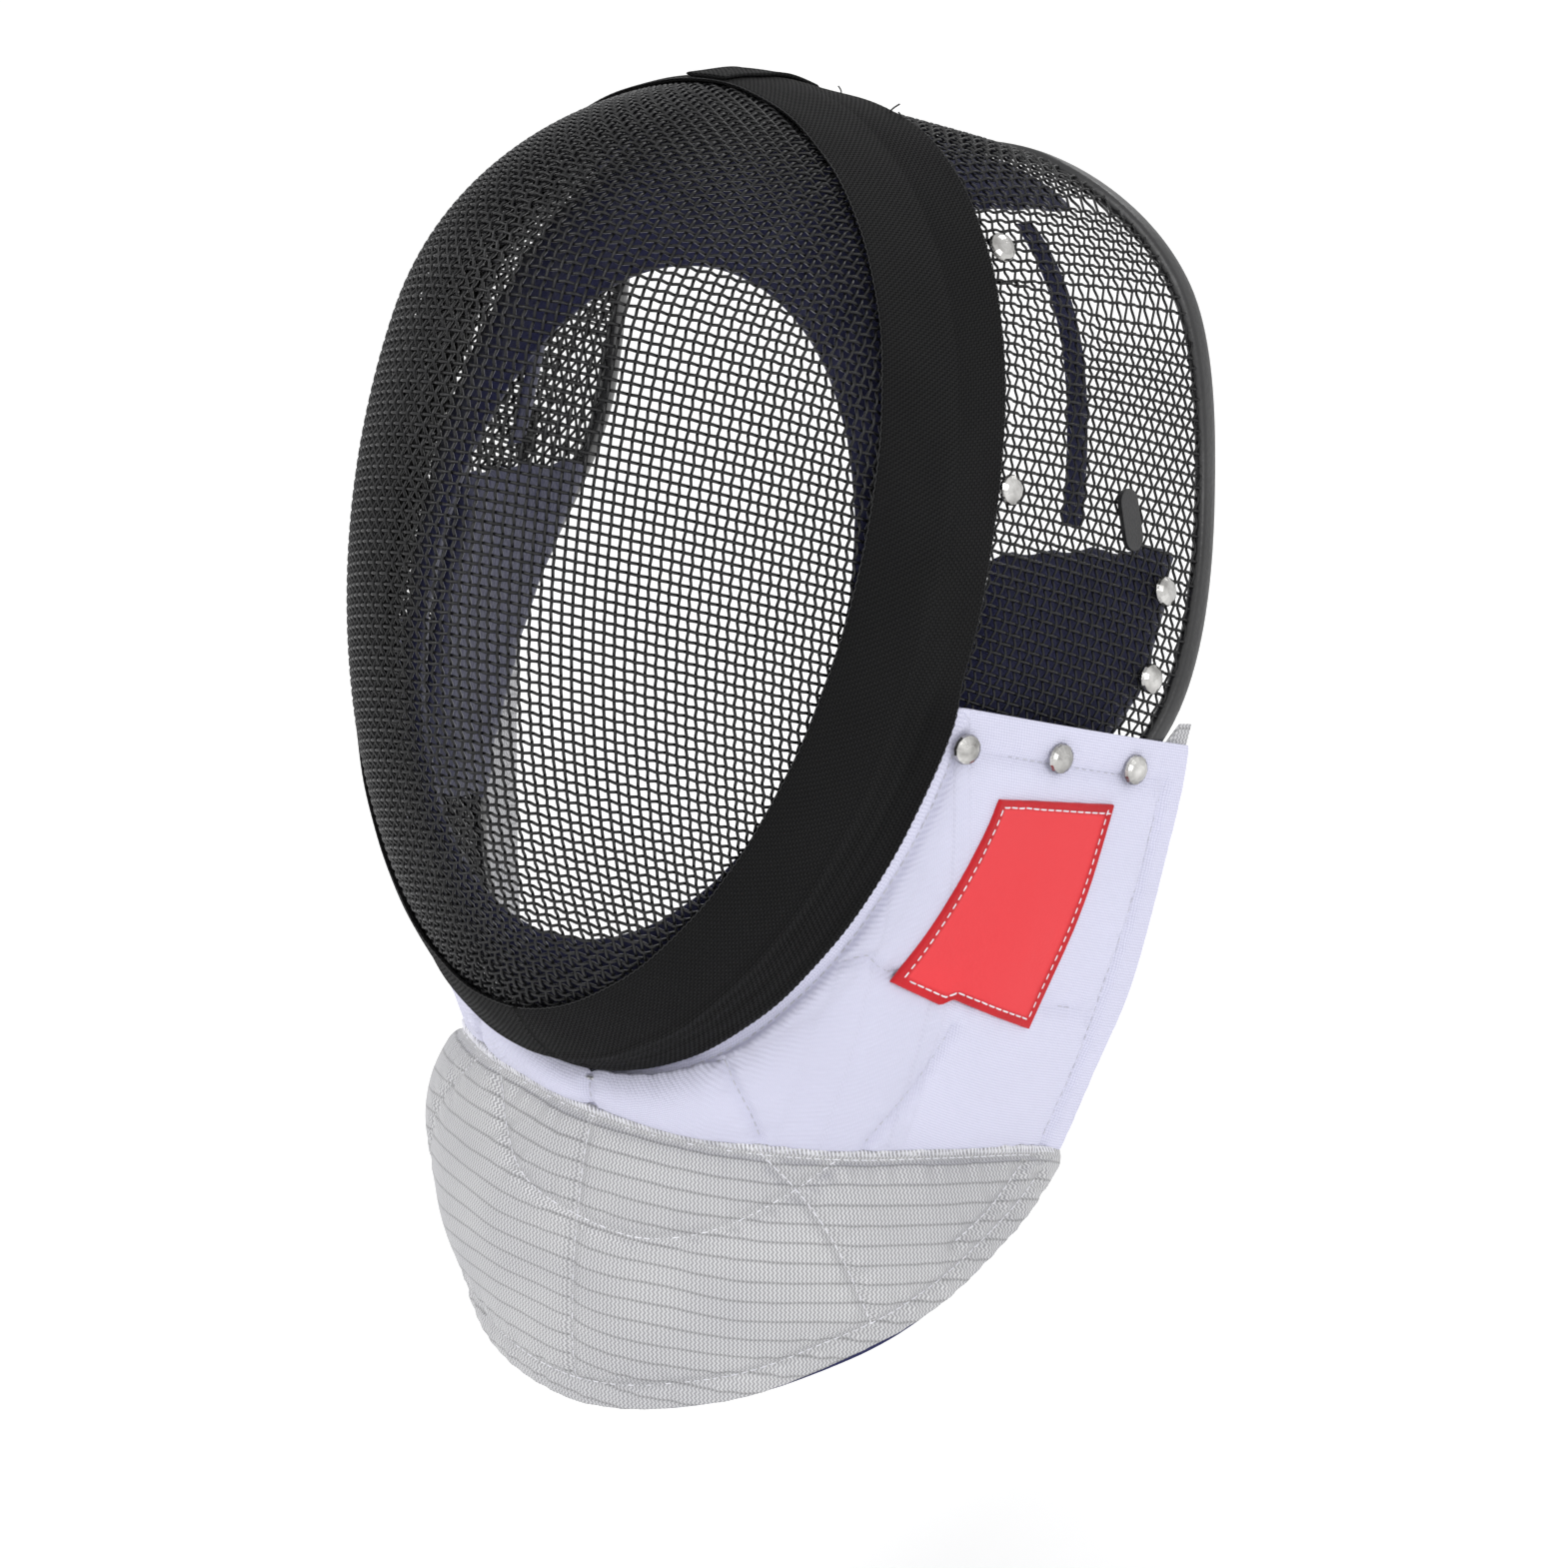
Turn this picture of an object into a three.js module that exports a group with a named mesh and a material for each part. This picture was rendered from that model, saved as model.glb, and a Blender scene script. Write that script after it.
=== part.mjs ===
// Sabre fencing mask: two deep-drawn wire-mesh shells joined under an elastic tape, an edging round
// the back, padded liners inside, and a cloth bib whose lower part is conductive lame.
// Millimetres, +Z up. The mask faces -Y and the wearer's left is +X. The origin is the point of the
// crown pad that rests on the wearer's head.
import * as THREE from "three";
import { mergeVertices } from "three/addons/utils/BufferGeometryUtils.js";

// Face opening: the egg-shaped line where the two mesh shells meet, in a plane that leans back.
const LEAN = THREE.MathUtils.degToRad(23.7);
const RIM = { halfHeight: 147.5, halfWidth: 95.6, egg: 0.063, sideForward: 2.9 };

// Front shell: its depth ahead of the rim plane, the height of its deepest point in that plane, and
// how full it is above and below that point and from side to side (0.5 is an ellipse, 1 a parabola).
const FACE = { depth: 117.3, apex: 54, fullnessAbove: 0.74, fullnessBelow: 0.62, fullnessAcross: 0.79 };

// Back edge of the side shell, from the crown round to under the chin, on the wearer's left.
const BACK_EDGE = [
  { angle: 0, x: 0, y: 115, z: 102.5 },
  { angle: 28, x: 62.5, y: 126, z: 104 },
  { angle: 55, x: 100.5, y: 139.5, z: 67 },
  { angle: 80, x: 112, y: 133.5, z: 1.5 },
  { angle: 100, x: 120.5, y: 98, z: -52.5 },
  { angle: 118, x: 105.5, y: 55, z: -87 },
  { angle: 138, x: 80, y: 18, z: -117 },
  { angle: 158, x: 40, y: -13, z: -140 },
  { angle: 180, x: 0, y: -25, z: -148 },
];
const CROWN_BULGE = 4.3;

// Walls and gaps.
const MESH_WALL = 2;
const GAP = 0.4;
const PAD_GAP = 1.6;
const TAPE = { front: 30.5, rear: 20, thick: 1.3, ridge: 0.6, ridgeReach: 16, slack: 0.3 };
const EDGING = { width: 8, thick: 4.4 };
const BIB_WALL = 2.5;

// Bib: angles run from the front centre to the rear corner of each side, as a fraction 0 to 1.
const BIB = {
  cornerAngle: THREE.MathUtils.degToRad(101.1),
  edgeDrop: THREE.MathUtils.degToRad(2.5),
  frontShare: 0.62,
  behindTape: 4.4,
  pastEdge: 8,
  seamGap: 1,
  overMesh: 1,
};
const SEAM = { halfWidth: 90, halfDepth: 95, y: -44, z: -158, drop: 28, skew: 8, puff: 5.5 };
const HEM = {
  halfWidth: 100,
  halfDepth: 103,
  y: -56,
  z: -249,
  rise: 50,
  cornerAngle: 98,
  puff: 7,
  fullHeight: 70,
};

// Halfway along the wearer's right side the skirt's hem is closer in and higher, and its cloth fuller.
const RIGHT_TUCK = { inward: 7, up: 5, fuller: 3.5 };

// Liners: the opening left for the face, and the pads' thickness.
const FACE_HOLE = { halfWidth: 74, halfHeight: 102, centre: -13, forward: 10 };
const LINER_THICK = 10;

// Pads inside the side shell: rim angles in degrees, and fractions of the way to the back edge.
const CROWN_PAD = { from: -40, to: 40, start: 0.16, end: 0.9, thick: 8 };
const CHEEK_PAD = { from: 82, to: 128, start: 0.2, end: 0.94, thick: 8 };
const TEMPLE_STRIP = { from: 41.2, to: 81, start: 0.46, end: 0.54, thick: 3 };

// Fittings, placed by angle round the rim and fraction of the way from the rim to the back edge.
const RIVET = { radius: 4.7, height: 2.8 };
const MESH_RIVETS = [
  { name: "upper", angle: 47, along: 0.26 },
  { name: "middle", angle: 77, along: 0.2 },
  { name: "rear", angle: 88, along: 0.815 },
  { name: "low", angle: 96.8, along: 0.835 },
];
const BIB_RIVETS = [
  { name: "front", across: 0.605, down: 0.05 },
  { name: "middle", across: 0.765, down: 0.075 },
  { name: "rear", across: 0.898, down: 0.075 },
];
const STRAP_PLATE = { angle: 80.9, along: 0.643, length: 19, width: 8.5, thick: 1.5 };
const LABEL_THICK = 1.2;
const LABEL_CORNERS = {
  topFront: new THREE.Vector3(104, 19, -62),
  topRear: new THREE.Vector3(117, 64, -74),
  footRear: new THREE.Vector3(102, 37, -139),
  footFront: new THREE.Vector3(87, -9, -112),
};

// The head rests here, in the frame whose origin is the middle of the face opening.
const HEAD_SEAT = new THREE.Vector3(0, 88, 111);

const mask = new THREE.Group();
const body = new THREE.Group();
body.position.copy(HEAD_SEAT).negate();
mask.add(body);

const material = {
  wire: new THREE.MeshStandardMaterial({ color: 0x17181a, roughness: 0.45, metalness: 0.4 }),
  tape: new THREE.MeshStandardMaterial({ color: 0x1b1b1d, roughness: 0.95, metalness: 0 }),
  edging: new THREE.MeshStandardMaterial({ color: 0x121214, roughness: 0.4, metalness: 0 }),
  nickel: new THREE.MeshStandardMaterial({ color: 0xc8c6c2, roughness: 0.2, metalness: 1 }),
  cloth: new THREE.MeshStandardMaterial({ color: 0xe4e4f2, roughness: 0.9, metalness: 0 }),
  lame: new THREE.MeshStandardMaterial({ color: 0xb9b9b6, roughness: 0.5, metalness: 0.5 }),
  label: new THREE.MeshStandardMaterial({ color: 0xe5393f, roughness: 0.8, metalness: 0 }),
  navy: new THREE.MeshStandardMaterial({ color: 0x1c1d3a, roughness: 0.9, metalness: 0 }),
};

function add(name, geometry, finish) {
  const mesh = new THREE.Mesh(geometry, finish);
  mesh.name = name;
  body.add(mesh);
  return mesh;
}

// ---- Surfaces ---------------------------------------------------------------------------------

// A point given by its place across, up and ahead of the leaning plane of the face opening.
function fromRimPlane(across, up, ahead) {
  const sin = Math.sin(LEAN);
  const cos = Math.cos(LEAN);
  return new THREE.Vector3(across, up * sin - ahead * cos, up * cos + ahead * sin);
}

// Outward direction within that plane, used for the thickness of both shells.
function outward(point) {
  const up = point.y * Math.sin(LEAN) + point.z * Math.cos(LEAN);
  return fromRimPlane(point.x, up, 0).normalize();
}

// Outward direction from the middle of the face opening, for the front shell.
function ahead(point) {
  return point.clone().normalize();
}

function rim(angle) {
  const across = RIM.halfWidth * Math.sin(angle) * (1 + RIM.egg * Math.cos(angle));
  const share = across / RIM.halfWidth;
  return { across, up: RIM.halfHeight * Math.cos(angle), forward: RIM.sideForward * share * share };
}

function rimPoint(angle) {
  const edge = rim(angle);
  return fromRimPlane(edge.across, edge.up, edge.forward);
}

// Front shell, from its deepest point (reach 0) to the rim (reach 1).
function facePoint(angle, reach) {
  const edge = rim(angle);
  const radius = Math.sin((reach * Math.PI) / 2);
  const across = edge.across * radius;
  const up = FACE.apex + (edge.up - FACE.apex) * radius;
  const above = up > FACE.apex;
  const span = above ? RIM.halfHeight - FACE.apex : RIM.halfHeight + FACE.apex;
  const level = Math.abs(up - FACE.apex) / span;
  const fullness = above ? FACE.fullnessAbove : FACE.fullnessBelow;
  const profile = FACE.depth * Math.max(1 - level * level, 0) ** fullness;
  const cos = up / RIM.halfHeight;
  const halfWidth = RIM.halfWidth * Math.sqrt(Math.max(1 - cos * cos, 1e-9)) * (1 + RIM.egg * cos);
  const section = Math.max(1 - (across / halfWidth) ** 2, 0) ** FACE.fullnessAcross;
  return fromRimPlane(across, up, profile * section + edge.forward * radius * radius);
}

// Back edge as a smooth closed curve through the table's stations and their mirror images.
const mirrored = BACK_EDGE.slice(1, -1).reverse().map((row) => ({ ...row, x: -row.x }));
const backStations = [...BACK_EDGE, ...mirrored].map((row) => new THREE.Vector3(row.x, row.y, row.z));
const backCurve = new THREE.CatmullRomCurve3(backStations, true, "catmullrom", 0.5);

function backEdge(angle) {
  const degrees = Math.min(Math.abs(THREE.MathUtils.radToDeg(angle)), 180);
  let row = 0;
  while (row < BACK_EDGE.length - 2 && BACK_EDGE[row + 1].angle <= degrees) {
    row += 1;
  }
  const share = (degrees - BACK_EDGE[row].angle) / (BACK_EDGE[row + 1].angle - BACK_EDGE[row].angle);
  const point = backCurve.getPoint((row + share) / backStations.length);
  point.x *= Math.sign(angle) || 1;
  return point;
}

// Side shell, from the rim (along 0) to the back edge (along 1).
function sidePoint(angle, along) {
  const point = rimPoint(angle).lerp(backEdge(angle), along);
  const bulge = CROWN_BULGE * 4 * along * (1 - along) * Math.cos(angle / 2) ** 2;
  const out = new THREE.Vector3(point.x, 0, point.z).normalize();
  return point.addScaledVector(out, bulge);
}

function sideLength(angle) {
  return rimPoint(angle).distanceTo(backEdge(angle));
}

function sideOffset(angle, along, distance) {
  const point = sidePoint(angle, along);
  return point.addScaledVector(outward(point), distance);
}

// Fraction of the front shell's reach that lies a given distance ahead of the rim.
function reachAhead(angle, distance) {
  const step = 0.005;
  let travelled = 0;
  let reach = 1;
  let last = facePoint(angle, reach);
  while (travelled < distance && reach > step) {
    reach -= step;
    const next = facePoint(angle, reach);
    travelled += next.distanceTo(last);
    last = next;
  }
  return reach;
}

// ---- Solids -----------------------------------------------------------------------------------

// Closed solid from quads listed over shared points; turned right side out when needed.
function solid(points, faces) {
  let volume = 0;
  for (const [a, b, c] of faces) {
    volume += points[a].dot(new THREE.Vector3().crossVectors(points[b], points[c]));
  }
  const ordered = volume < 0 ? faces.map(([a, b, c]) => [a, c, b]) : faces;
  const geometry = new THREE.BufferGeometry();
  geometry.setAttribute("position", new THREE.Float32BufferAttribute(points.flatMap((p) => p.toArray()), 3));
  geometry.setIndex(ordered.flat());
  geometry.computeVertexNormals();
  return geometry;
}

// A bent wall between an outer and an inner surface. Each surface maps (u, v), both 0 to 1, to a
// point. A closed wall joins u 1 to u 0; a pole gathers the row v 0 into one point.
function wall(outer, inner, columns, rows, { closed = false, pole = false } = {}) {
  const points = [];
  const faces = [];
  const width = closed ? columns : columns + 1;
  const grid = [outer, inner].map((surface) => {
    const index = [];
    for (let j = 0; j <= rows; j += 1) {
      const line = [];
      for (let i = 0; i < width; i += 1) {
        if (pole && j === 0 && i > 0) {
          line.push(line[0]);
        } else {
          line.push(points.length);
          points.push(surface(i / columns, j / rows));
        }
      }
      index.push(line);
    }
    return index;
  });
  const quad = (a, b, c, d) => {
    for (const face of [[a, b, c], [a, c, d]]) {
      if (new Set(face).size === 3) {
        faces.push(face);
      }
    }
  };
  const [top, low] = grid;
  for (let j = 0; j < rows; j += 1) {
    for (let i = 0; i < columns; i += 1) {
      const k = (i + 1) % width;
      quad(top[j][i], top[j][k], top[j + 1][k], top[j + 1][i]);
      quad(low[j][i], low[j + 1][i], low[j + 1][k], low[j][k]);
    }
  }
  for (let i = 0; i < columns; i += 1) {
    const k = (i + 1) % width;
    quad(top[rows][i], top[rows][k], low[rows][k], low[rows][i]);
    if (!pole) {
      quad(top[0][k], top[0][i], low[0][i], low[0][k]);
    }
  }
  if (!closed) {
    for (let j = 0; j < rows; j += 1) {
      quad(top[j][0], top[j + 1][0], low[j + 1][0], low[j][0]);
      quad(top[j + 1][columns], top[j][columns], low[j][columns], low[j + 1][columns]);
    }
  }
  return solid(points, faces);
}

// A closed ring swept round the rim angles, from a closed section of points at each angle.
function ring(section, columns, sides) {
  const points = [];
  const faces = [];
  for (let i = 0; i < columns; i += 1) {
    const angle = ((i / columns) * 2 - 1) * Math.PI;
    for (let j = 0; j < sides; j += 1) {
      points.push(section(angle, j / sides));
    }
  }
  for (let i = 0; i < columns; i += 1) {
    for (let j = 0; j < sides; j += 1) {
      const a = i * sides + j;
      const b = i * sides + ((j + 1) % sides);
      const c = ((i + 1) % columns) * sides + ((j + 1) % sides);
      const d = ((i + 1) % columns) * sides + j;
      faces.push([a, b, c], [a, c, d]);
    }
  }
  return solid(points, faces);
}

const turn = (share) => (share * 2 - 1) * Math.PI;

// ---- Wire-mesh shells -------------------------------------------------------------------------

function faceSurface(distance) {
  return (u, v) => {
    const point = facePoint(turn(u), v);
    return point.addScaledVector(ahead(point), distance);
  };
}

add("front_mesh", wall(faceSurface(MESH_WALL / 2), faceSurface(-MESH_WALL / 2), 48, 12, {
  closed: true,
  pole: true,
}), material.wire);

function sideSurface(distance) {
  return (u, v) => {
    const angle = turn(u);
    const length = sideLength(angle);
    const start = GAP / length;
    const end = 1 - (EDGING.width + GAP) / length;
    return sideOffset(angle, start + (end - start) * v, distance);
  };
}

add("side_mesh", wall(sideSurface(MESH_WALL / 2), sideSurface(-MESH_WALL / 2), 48, 6, {
  closed: true,
}), material.wire);

// Edging: a rounded strip that carries on from the side shell's back edge.
function edgingSection(angle, share) {
  const length = sideLength(angle);
  const phase = share * Math.PI * 2;
  const across = Math.sign(Math.cos(phase)) * Math.abs(Math.cos(phase)) ** 0.6;
  const along = 1 - (EDGING.width / 2) * (1 - across) / length;
  return sideOffset(angle, along, (EDGING.thick / 2) * Math.sin(phase));
}

add("rear_edging", ring(edgingSection, 48, 8), material.edging);

// ---- Elastic tape over the joint --------------------------------------------------------------

// The tape lies on the front shell, rises a little over the ridge and lies on the side shell.
function tapePoint(angle, share, distance) {
  const behind = share * (TAPE.front + TAPE.rear) - TAPE.front;
  const rise = TAPE.ridge * Math.max(1 - Math.abs(behind) / TAPE.ridgeReach, 0);
  const clear = MESH_WALL / 2 + GAP + rise + distance;
  if (behind < 0) {
    const point = facePoint(angle, reachAhead(angle, -behind));
    return point.addScaledVector(ahead(point), clear + TAPE.slack * (behind / TAPE.front) ** 2);
  }
  return sideOffset(angle, behind / sideLength(angle), clear);
}

function tapeSurface(distance) {
  return (u, v) => tapePoint(turn(u), v, distance);
}

add("trim_band", wall(tapeSurface(TAPE.thick), tapeSurface(0), 48, 5, { closed: true }), material.tape);

// ---- Bib --------------------------------------------------------------------------------------

// Top edge: behind the tape under the chin and jaw, then back along the side shell.
function bibTop(share) {
  const side = Math.sign(share) || 1;
  const reach = Math.abs(share);
  if (reach <= BIB.frontShare) {
    const angle = Math.PI - (Math.PI - BIB.cornerAngle) * (reach / BIB.frontShare);
    const along = (TAPE.rear + BIB.behindTape) / sideLength(angle);
    return sideOffset(angle * side, along, MESH_WALL / 2 + BIB.overMesh + BIB_WALL / 2);
  }
  const back = (reach - BIB.frontShare) / (1 - BIB.frontShare);
  const first = (TAPE.rear + BIB.behindTape) / sideLength(BIB.cornerAngle);
  const last = 1 + BIB.pastEdge / sideLength(BIB.cornerAngle + BIB.edgeDrop);
  const angle = BIB.cornerAngle + BIB.edgeDrop * back;
  const overEdging = (EDGING.thick - MESH_WALL) * 0.5 * back * back;
  const lift = MESH_WALL / 2 + BIB.overMesh + BIB_WALL / 2 + overEdging;
  return sideOffset(angle * side, first + (last - first) * back, lift);
}

// Seam between the white cloth and the lame, and the hem, both half ellipses seen from above.
function bibSeam(share) {
  const reach = Math.abs(share);
  const angle = share * THREE.MathUtils.degToRad(HEM.cornerAngle);
  const low = SEAM.z - SEAM.drop * reach ** 3 - SEAM.skew * Math.sin(Math.PI * share);
  const blend = reach ** 4;
  const halfWidth = SEAM.halfWidth + (HEM.halfWidth - SEAM.halfWidth) * blend;
  const halfDepth = SEAM.halfDepth + (HEM.halfDepth - SEAM.halfDepth) * blend;
  const centre = SEAM.y + SEAM.halfDepth + (HEM.y + HEM.halfDepth - SEAM.y - SEAM.halfDepth) * blend;
  return new THREE.Vector3(halfWidth * Math.sin(angle), centre - halfDepth * Math.cos(angle), low);
}

function rightTuck(share) {
  return share < 0 ? Math.sin(-share * Math.PI) : 0;
}

function bibHem(share) {
  const angle = share * THREE.MathUtils.degToRad(HEM.cornerAngle);
  const turned = 1 - Math.cos(angle);
  const tuck = rightTuck(share);
  return new THREE.Vector3(
    (HEM.halfWidth - RIGHT_TUCK.inward * tuck) * Math.sin(angle),
    HEM.y + HEM.halfDepth * turned + RIGHT_TUCK.inward * tuck * Math.cos(angle),
    HEM.z + HEM.rise * turned + RIGHT_TUCK.up * tuck,
  );
}

// A sheet between two edge curves, puffed outward between them. The puff maps a share across and
// the sheet's height there to millimetres.
function bibSheet(upper, lower, puff) {
  return (share, down) => {
    const top = upper(share);
    const foot = lower(share);
    const most = puff(share, top.distanceTo(foot));
    const point = top.lerp(foot, down);
    const out = new THREE.Vector3(point.x, point.y - 25, 0).normalize();
    return point.addScaledVector(out, most * 4 * down * (1 - down));
  };
}

function lamePuff(share, height) {
  return (HEM.puff + RIGHT_TUCK.fuller * rightTuck(share)) * Math.min(height / HEM.fullHeight, 1);
}

const whiteSheet = bibSheet(bibTop, bibSeam, () => SEAM.puff);
const lameSheet = bibSheet(bibSeam, bibHem, lamePuff);

// A sheet's two faces, each a distance from its middle along the sheet's true normal. The sheet may
// stop short of its edge curves: trims are in millimetres.
function sheetFace(sheet, distance, { trimTop = 0, trimFoot = 0 } = {}) {
  const step = 0.01;
  return (u, v) => {
    const share = u * 2 - 1;
    const length = sheet(share, 0).distanceTo(sheet(share, 1));
    const down = trimTop / length + (1 - (trimTop + trimFoot) / length) * v;
    const left = sheet(Math.max(share - step, -1), down);
    const right = sheet(Math.min(share + step, 1), down);
    const above = sheet(share, Math.max(down - step, 0));
    const below = sheet(share, Math.min(down + step, 1));
    const normal = right.sub(left).cross(above.sub(below)).normalize();
    return sheet(share, down).addScaledVector(normal, distance);
  };
}

function bibWall(sheet, trims) {
  const half = BIB_WALL / 2;
  return wall(sheetFace(sheet, half, trims), sheetFace(sheet, -half, trims), 40, 5);
}

add("bib_white", bibWall(whiteSheet, { trimFoot: BIB.seamGap }), material.cloth);
add("bib_conductive", bibWall(lameSheet, { trimTop: BIB.seamGap }), material.lame);

// ---- Liners -----------------------------------------------------------------------------------

// Face liner: a rounded collar from the inside of the rim to the oval left for the face.
function faceLinerSection(angle, share) {
  const edge = rim(angle);
  const outer = fromRimPlane(edge.across * 0.93, edge.up * 0.95, edge.forward - 4);
  const inner = fromRimPlane(
    FACE_HOLE.halfWidth * Math.sin(angle),
    FACE_HOLE.centre + FACE_HOLE.halfHeight * Math.cos(angle),
    FACE_HOLE.forward,
  );
  const phase = share * Math.PI * 2;
  const along = 0.5 - 0.5 * Math.sign(Math.cos(phase)) * Math.abs(Math.cos(phase)) ** 0.7;
  const point = outer.lerp(inner, along);
  return point.add(fromRimPlane(0, 0, (LINER_THICK / 2) * Math.sin(phase)));
}

add("face_liner", ring(faceLinerSection, 40, 8), material.navy);

// Pads that line the inside of the side shell between two rim angles.
function liningPad({ from, to, start, end, thick }, columns, rows) {
  const surface = (distance) => (u, v) => {
    const angle = THREE.MathUtils.degToRad(from + (to - from) * u);
    const along = start + (end - start) * v;
    return sideOffset(angle, along, distance);
  };
  const face = -MESH_WALL / 2 - PAD_GAP;
  return wall(surface(face), surface(face - thick), columns, rows);
}

function onRight(pad) {
  return { ...pad, from: -pad.to, to: -pad.from };
}

add("crown_pad", liningPad(CROWN_PAD, 16, 4), material.navy);
add("cheek_pad_left", liningPad(CHEEK_PAD, 6, 4), material.navy);
add("cheek_pad_right", liningPad(onRight(CHEEK_PAD), 6, 4), material.navy);
add("temple_strip_left", liningPad(TEMPLE_STRIP, 4, 1), material.navy);
add("temple_strip_right", liningPad(onRight(TEMPLE_STRIP), 4, 1), material.navy);

// ---- Fittings ---------------------------------------------------------------------------------

// Turns a flat piece, made on the XY plane, to lie on a surface at a point.
function layOn(mesh, point, normal, up) {
  const z = normal.clone().normalize();
  const x = new THREE.Vector3().crossVectors(up, z).normalize();
  const y = new THREE.Vector3().crossVectors(z, x);
  mesh.quaternion.setFromRotationMatrix(new THREE.Matrix4().makeBasis(x, y, z));
  mesh.position.copy(point);
}

function sideNormal(angle, along) {
  const step = 0.01;
  const across = sidePoint(angle + step, along).sub(sidePoint(angle - step, along));
  const back = sidePoint(angle, along + step).sub(sidePoint(angle, along - step));
  const normal = across.cross(back).normalize();
  return normal.dot(outward(sidePoint(angle, along))) < 0 ? normal.negate() : normal;
}

// Domed rivet head with a flat underside.
function rivetHead() {
  const profile = [new THREE.Vector2(0, 0), new THREE.Vector2(RIVET.radius, 0)];
  const steps = 4;
  for (let i = 0; i < steps; i += 1) {
    const angle = (i / steps) * (Math.PI / 2);
    const rise = 0.5 + (RIVET.height - 0.5) * Math.sin(angle);
    profile.push(new THREE.Vector2(RIVET.radius * Math.cos(angle), rise));
  }
  profile.push(new THREE.Vector2(0, RIVET.height));
  const lathe = new THREE.LatheGeometry(profile, 14);
  lathe.deleteAttribute("normal");
  lathe.deleteAttribute("uv");
  const geometry = mergeVertices(lathe);
  geometry.rotateX(Math.PI / 2);
  return geometry;
}

// An oval plate, as long as its straight stretch and its two round ends together.
function ovalPlate({ length, width, thick }) {
  const radius = width / 2;
  const straight = length / 2 - radius;
  const shape = new THREE.Shape();
  shape.moveTo(radius, -straight);
  shape.lineTo(radius, straight);
  shape.absarc(0, straight, radius, 0, Math.PI, false);
  shape.lineTo(-radius, -straight);
  shape.absarc(0, -straight, radius, Math.PI, Math.PI * 2, false);
  return new THREE.ExtrudeGeometry(shape, { depth: thick, bevelEnabled: false, curveSegments: 8 });
}

const worldUp = new THREE.Vector3(0, 0, 1);
for (const side of [1, -1]) {
  const sideName = side > 0 ? "left" : "right";
  for (const row of MESH_RIVETS) {
    const angle = THREE.MathUtils.degToRad(row.angle) * side;
    const rivet = add(`mesh_rivet_${row.name}_${sideName}`, rivetHead(), material.nickel);
    const normal = sideNormal(angle, row.along);
    const point = sidePoint(angle, row.along).addScaledVector(normal, MESH_WALL / 2 + GAP);
    layOn(rivet, point, normal, worldUp);
  }
  for (const row of BIB_RIVETS) {
    const rivet = add(`bib_rivet_${row.name}_${sideName}`, rivetHead(), material.nickel);
    const lift = BIB_WALL / 2;
    const share = (row.across * side + 1) / 2;
    const point = sheetFace(whiteSheet, lift + GAP)(share, row.down);
    const inner = sheetFace(whiteSheet, 0)(share, row.down);
    layOn(rivet, point, point.clone().sub(inner), worldUp);
  }
  const plateAngle = THREE.MathUtils.degToRad(STRAP_PLATE.angle) * side;
  const plate = add(`strap_plate_${sideName}`, ovalPlate(STRAP_PLATE), material.edging);
  const normal = sideNormal(plateAngle, STRAP_PLATE.along);
  const point = sidePoint(plateAngle, STRAP_PLATE.along);
  layOn(plate, point.addScaledVector(normal, MESH_WALL / 2 + GAP), normal, worldUp);
}

// The place on a sheet nearest to a point, as a share across and a fraction down.
function nearestOn(sheet, target) {
  let best = { across: 0.7, down: 0.4, gap: Infinity };
  for (let step = 0.1; step > 0.0005; step /= 2) {
    const centre = best;
    for (let i = -3; i <= 3; i += 1) {
      for (let j = -3; j <= 3; j += 1) {
        const across = Math.min(centre.across + i * step, 1);
        const down = Math.max(centre.down + j * step, 0);
        const gap = sheet(across, down).distanceTo(target);
        if (gap < best.gap) {
          best = { across, down, gap };
        }
      }
    }
  }
  return best;
}

// Label: a slanted patch with straight edges that lies on the white cloth, on the wearer's left.
function labelFace(distance) {
  const face = sheetFace(whiteSheet, distance, { trimFoot: BIB.seamGap });
  const { topFront, topRear, footRear, footFront } = LABEL_CORNERS;
  return (u, v) => {
    const front = topFront.clone().lerp(footFront, v);
    const rear = topRear.clone().lerp(footRear, v);
    const place = nearestOn(whiteSheet, front.lerp(rear, u));
    return face((place.across + 1) / 2, place.down);
  };
}

const labelBase = BIB_WALL / 2 + GAP;
add("bib_label", wall(labelFace(labelBase + LABEL_THICK), labelFace(labelBase), 8, 8), material.label);

export default mask;
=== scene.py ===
import math

import bmesh
import bpy
import numpy as np
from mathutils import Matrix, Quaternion, Vector, kdtree, noise


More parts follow.
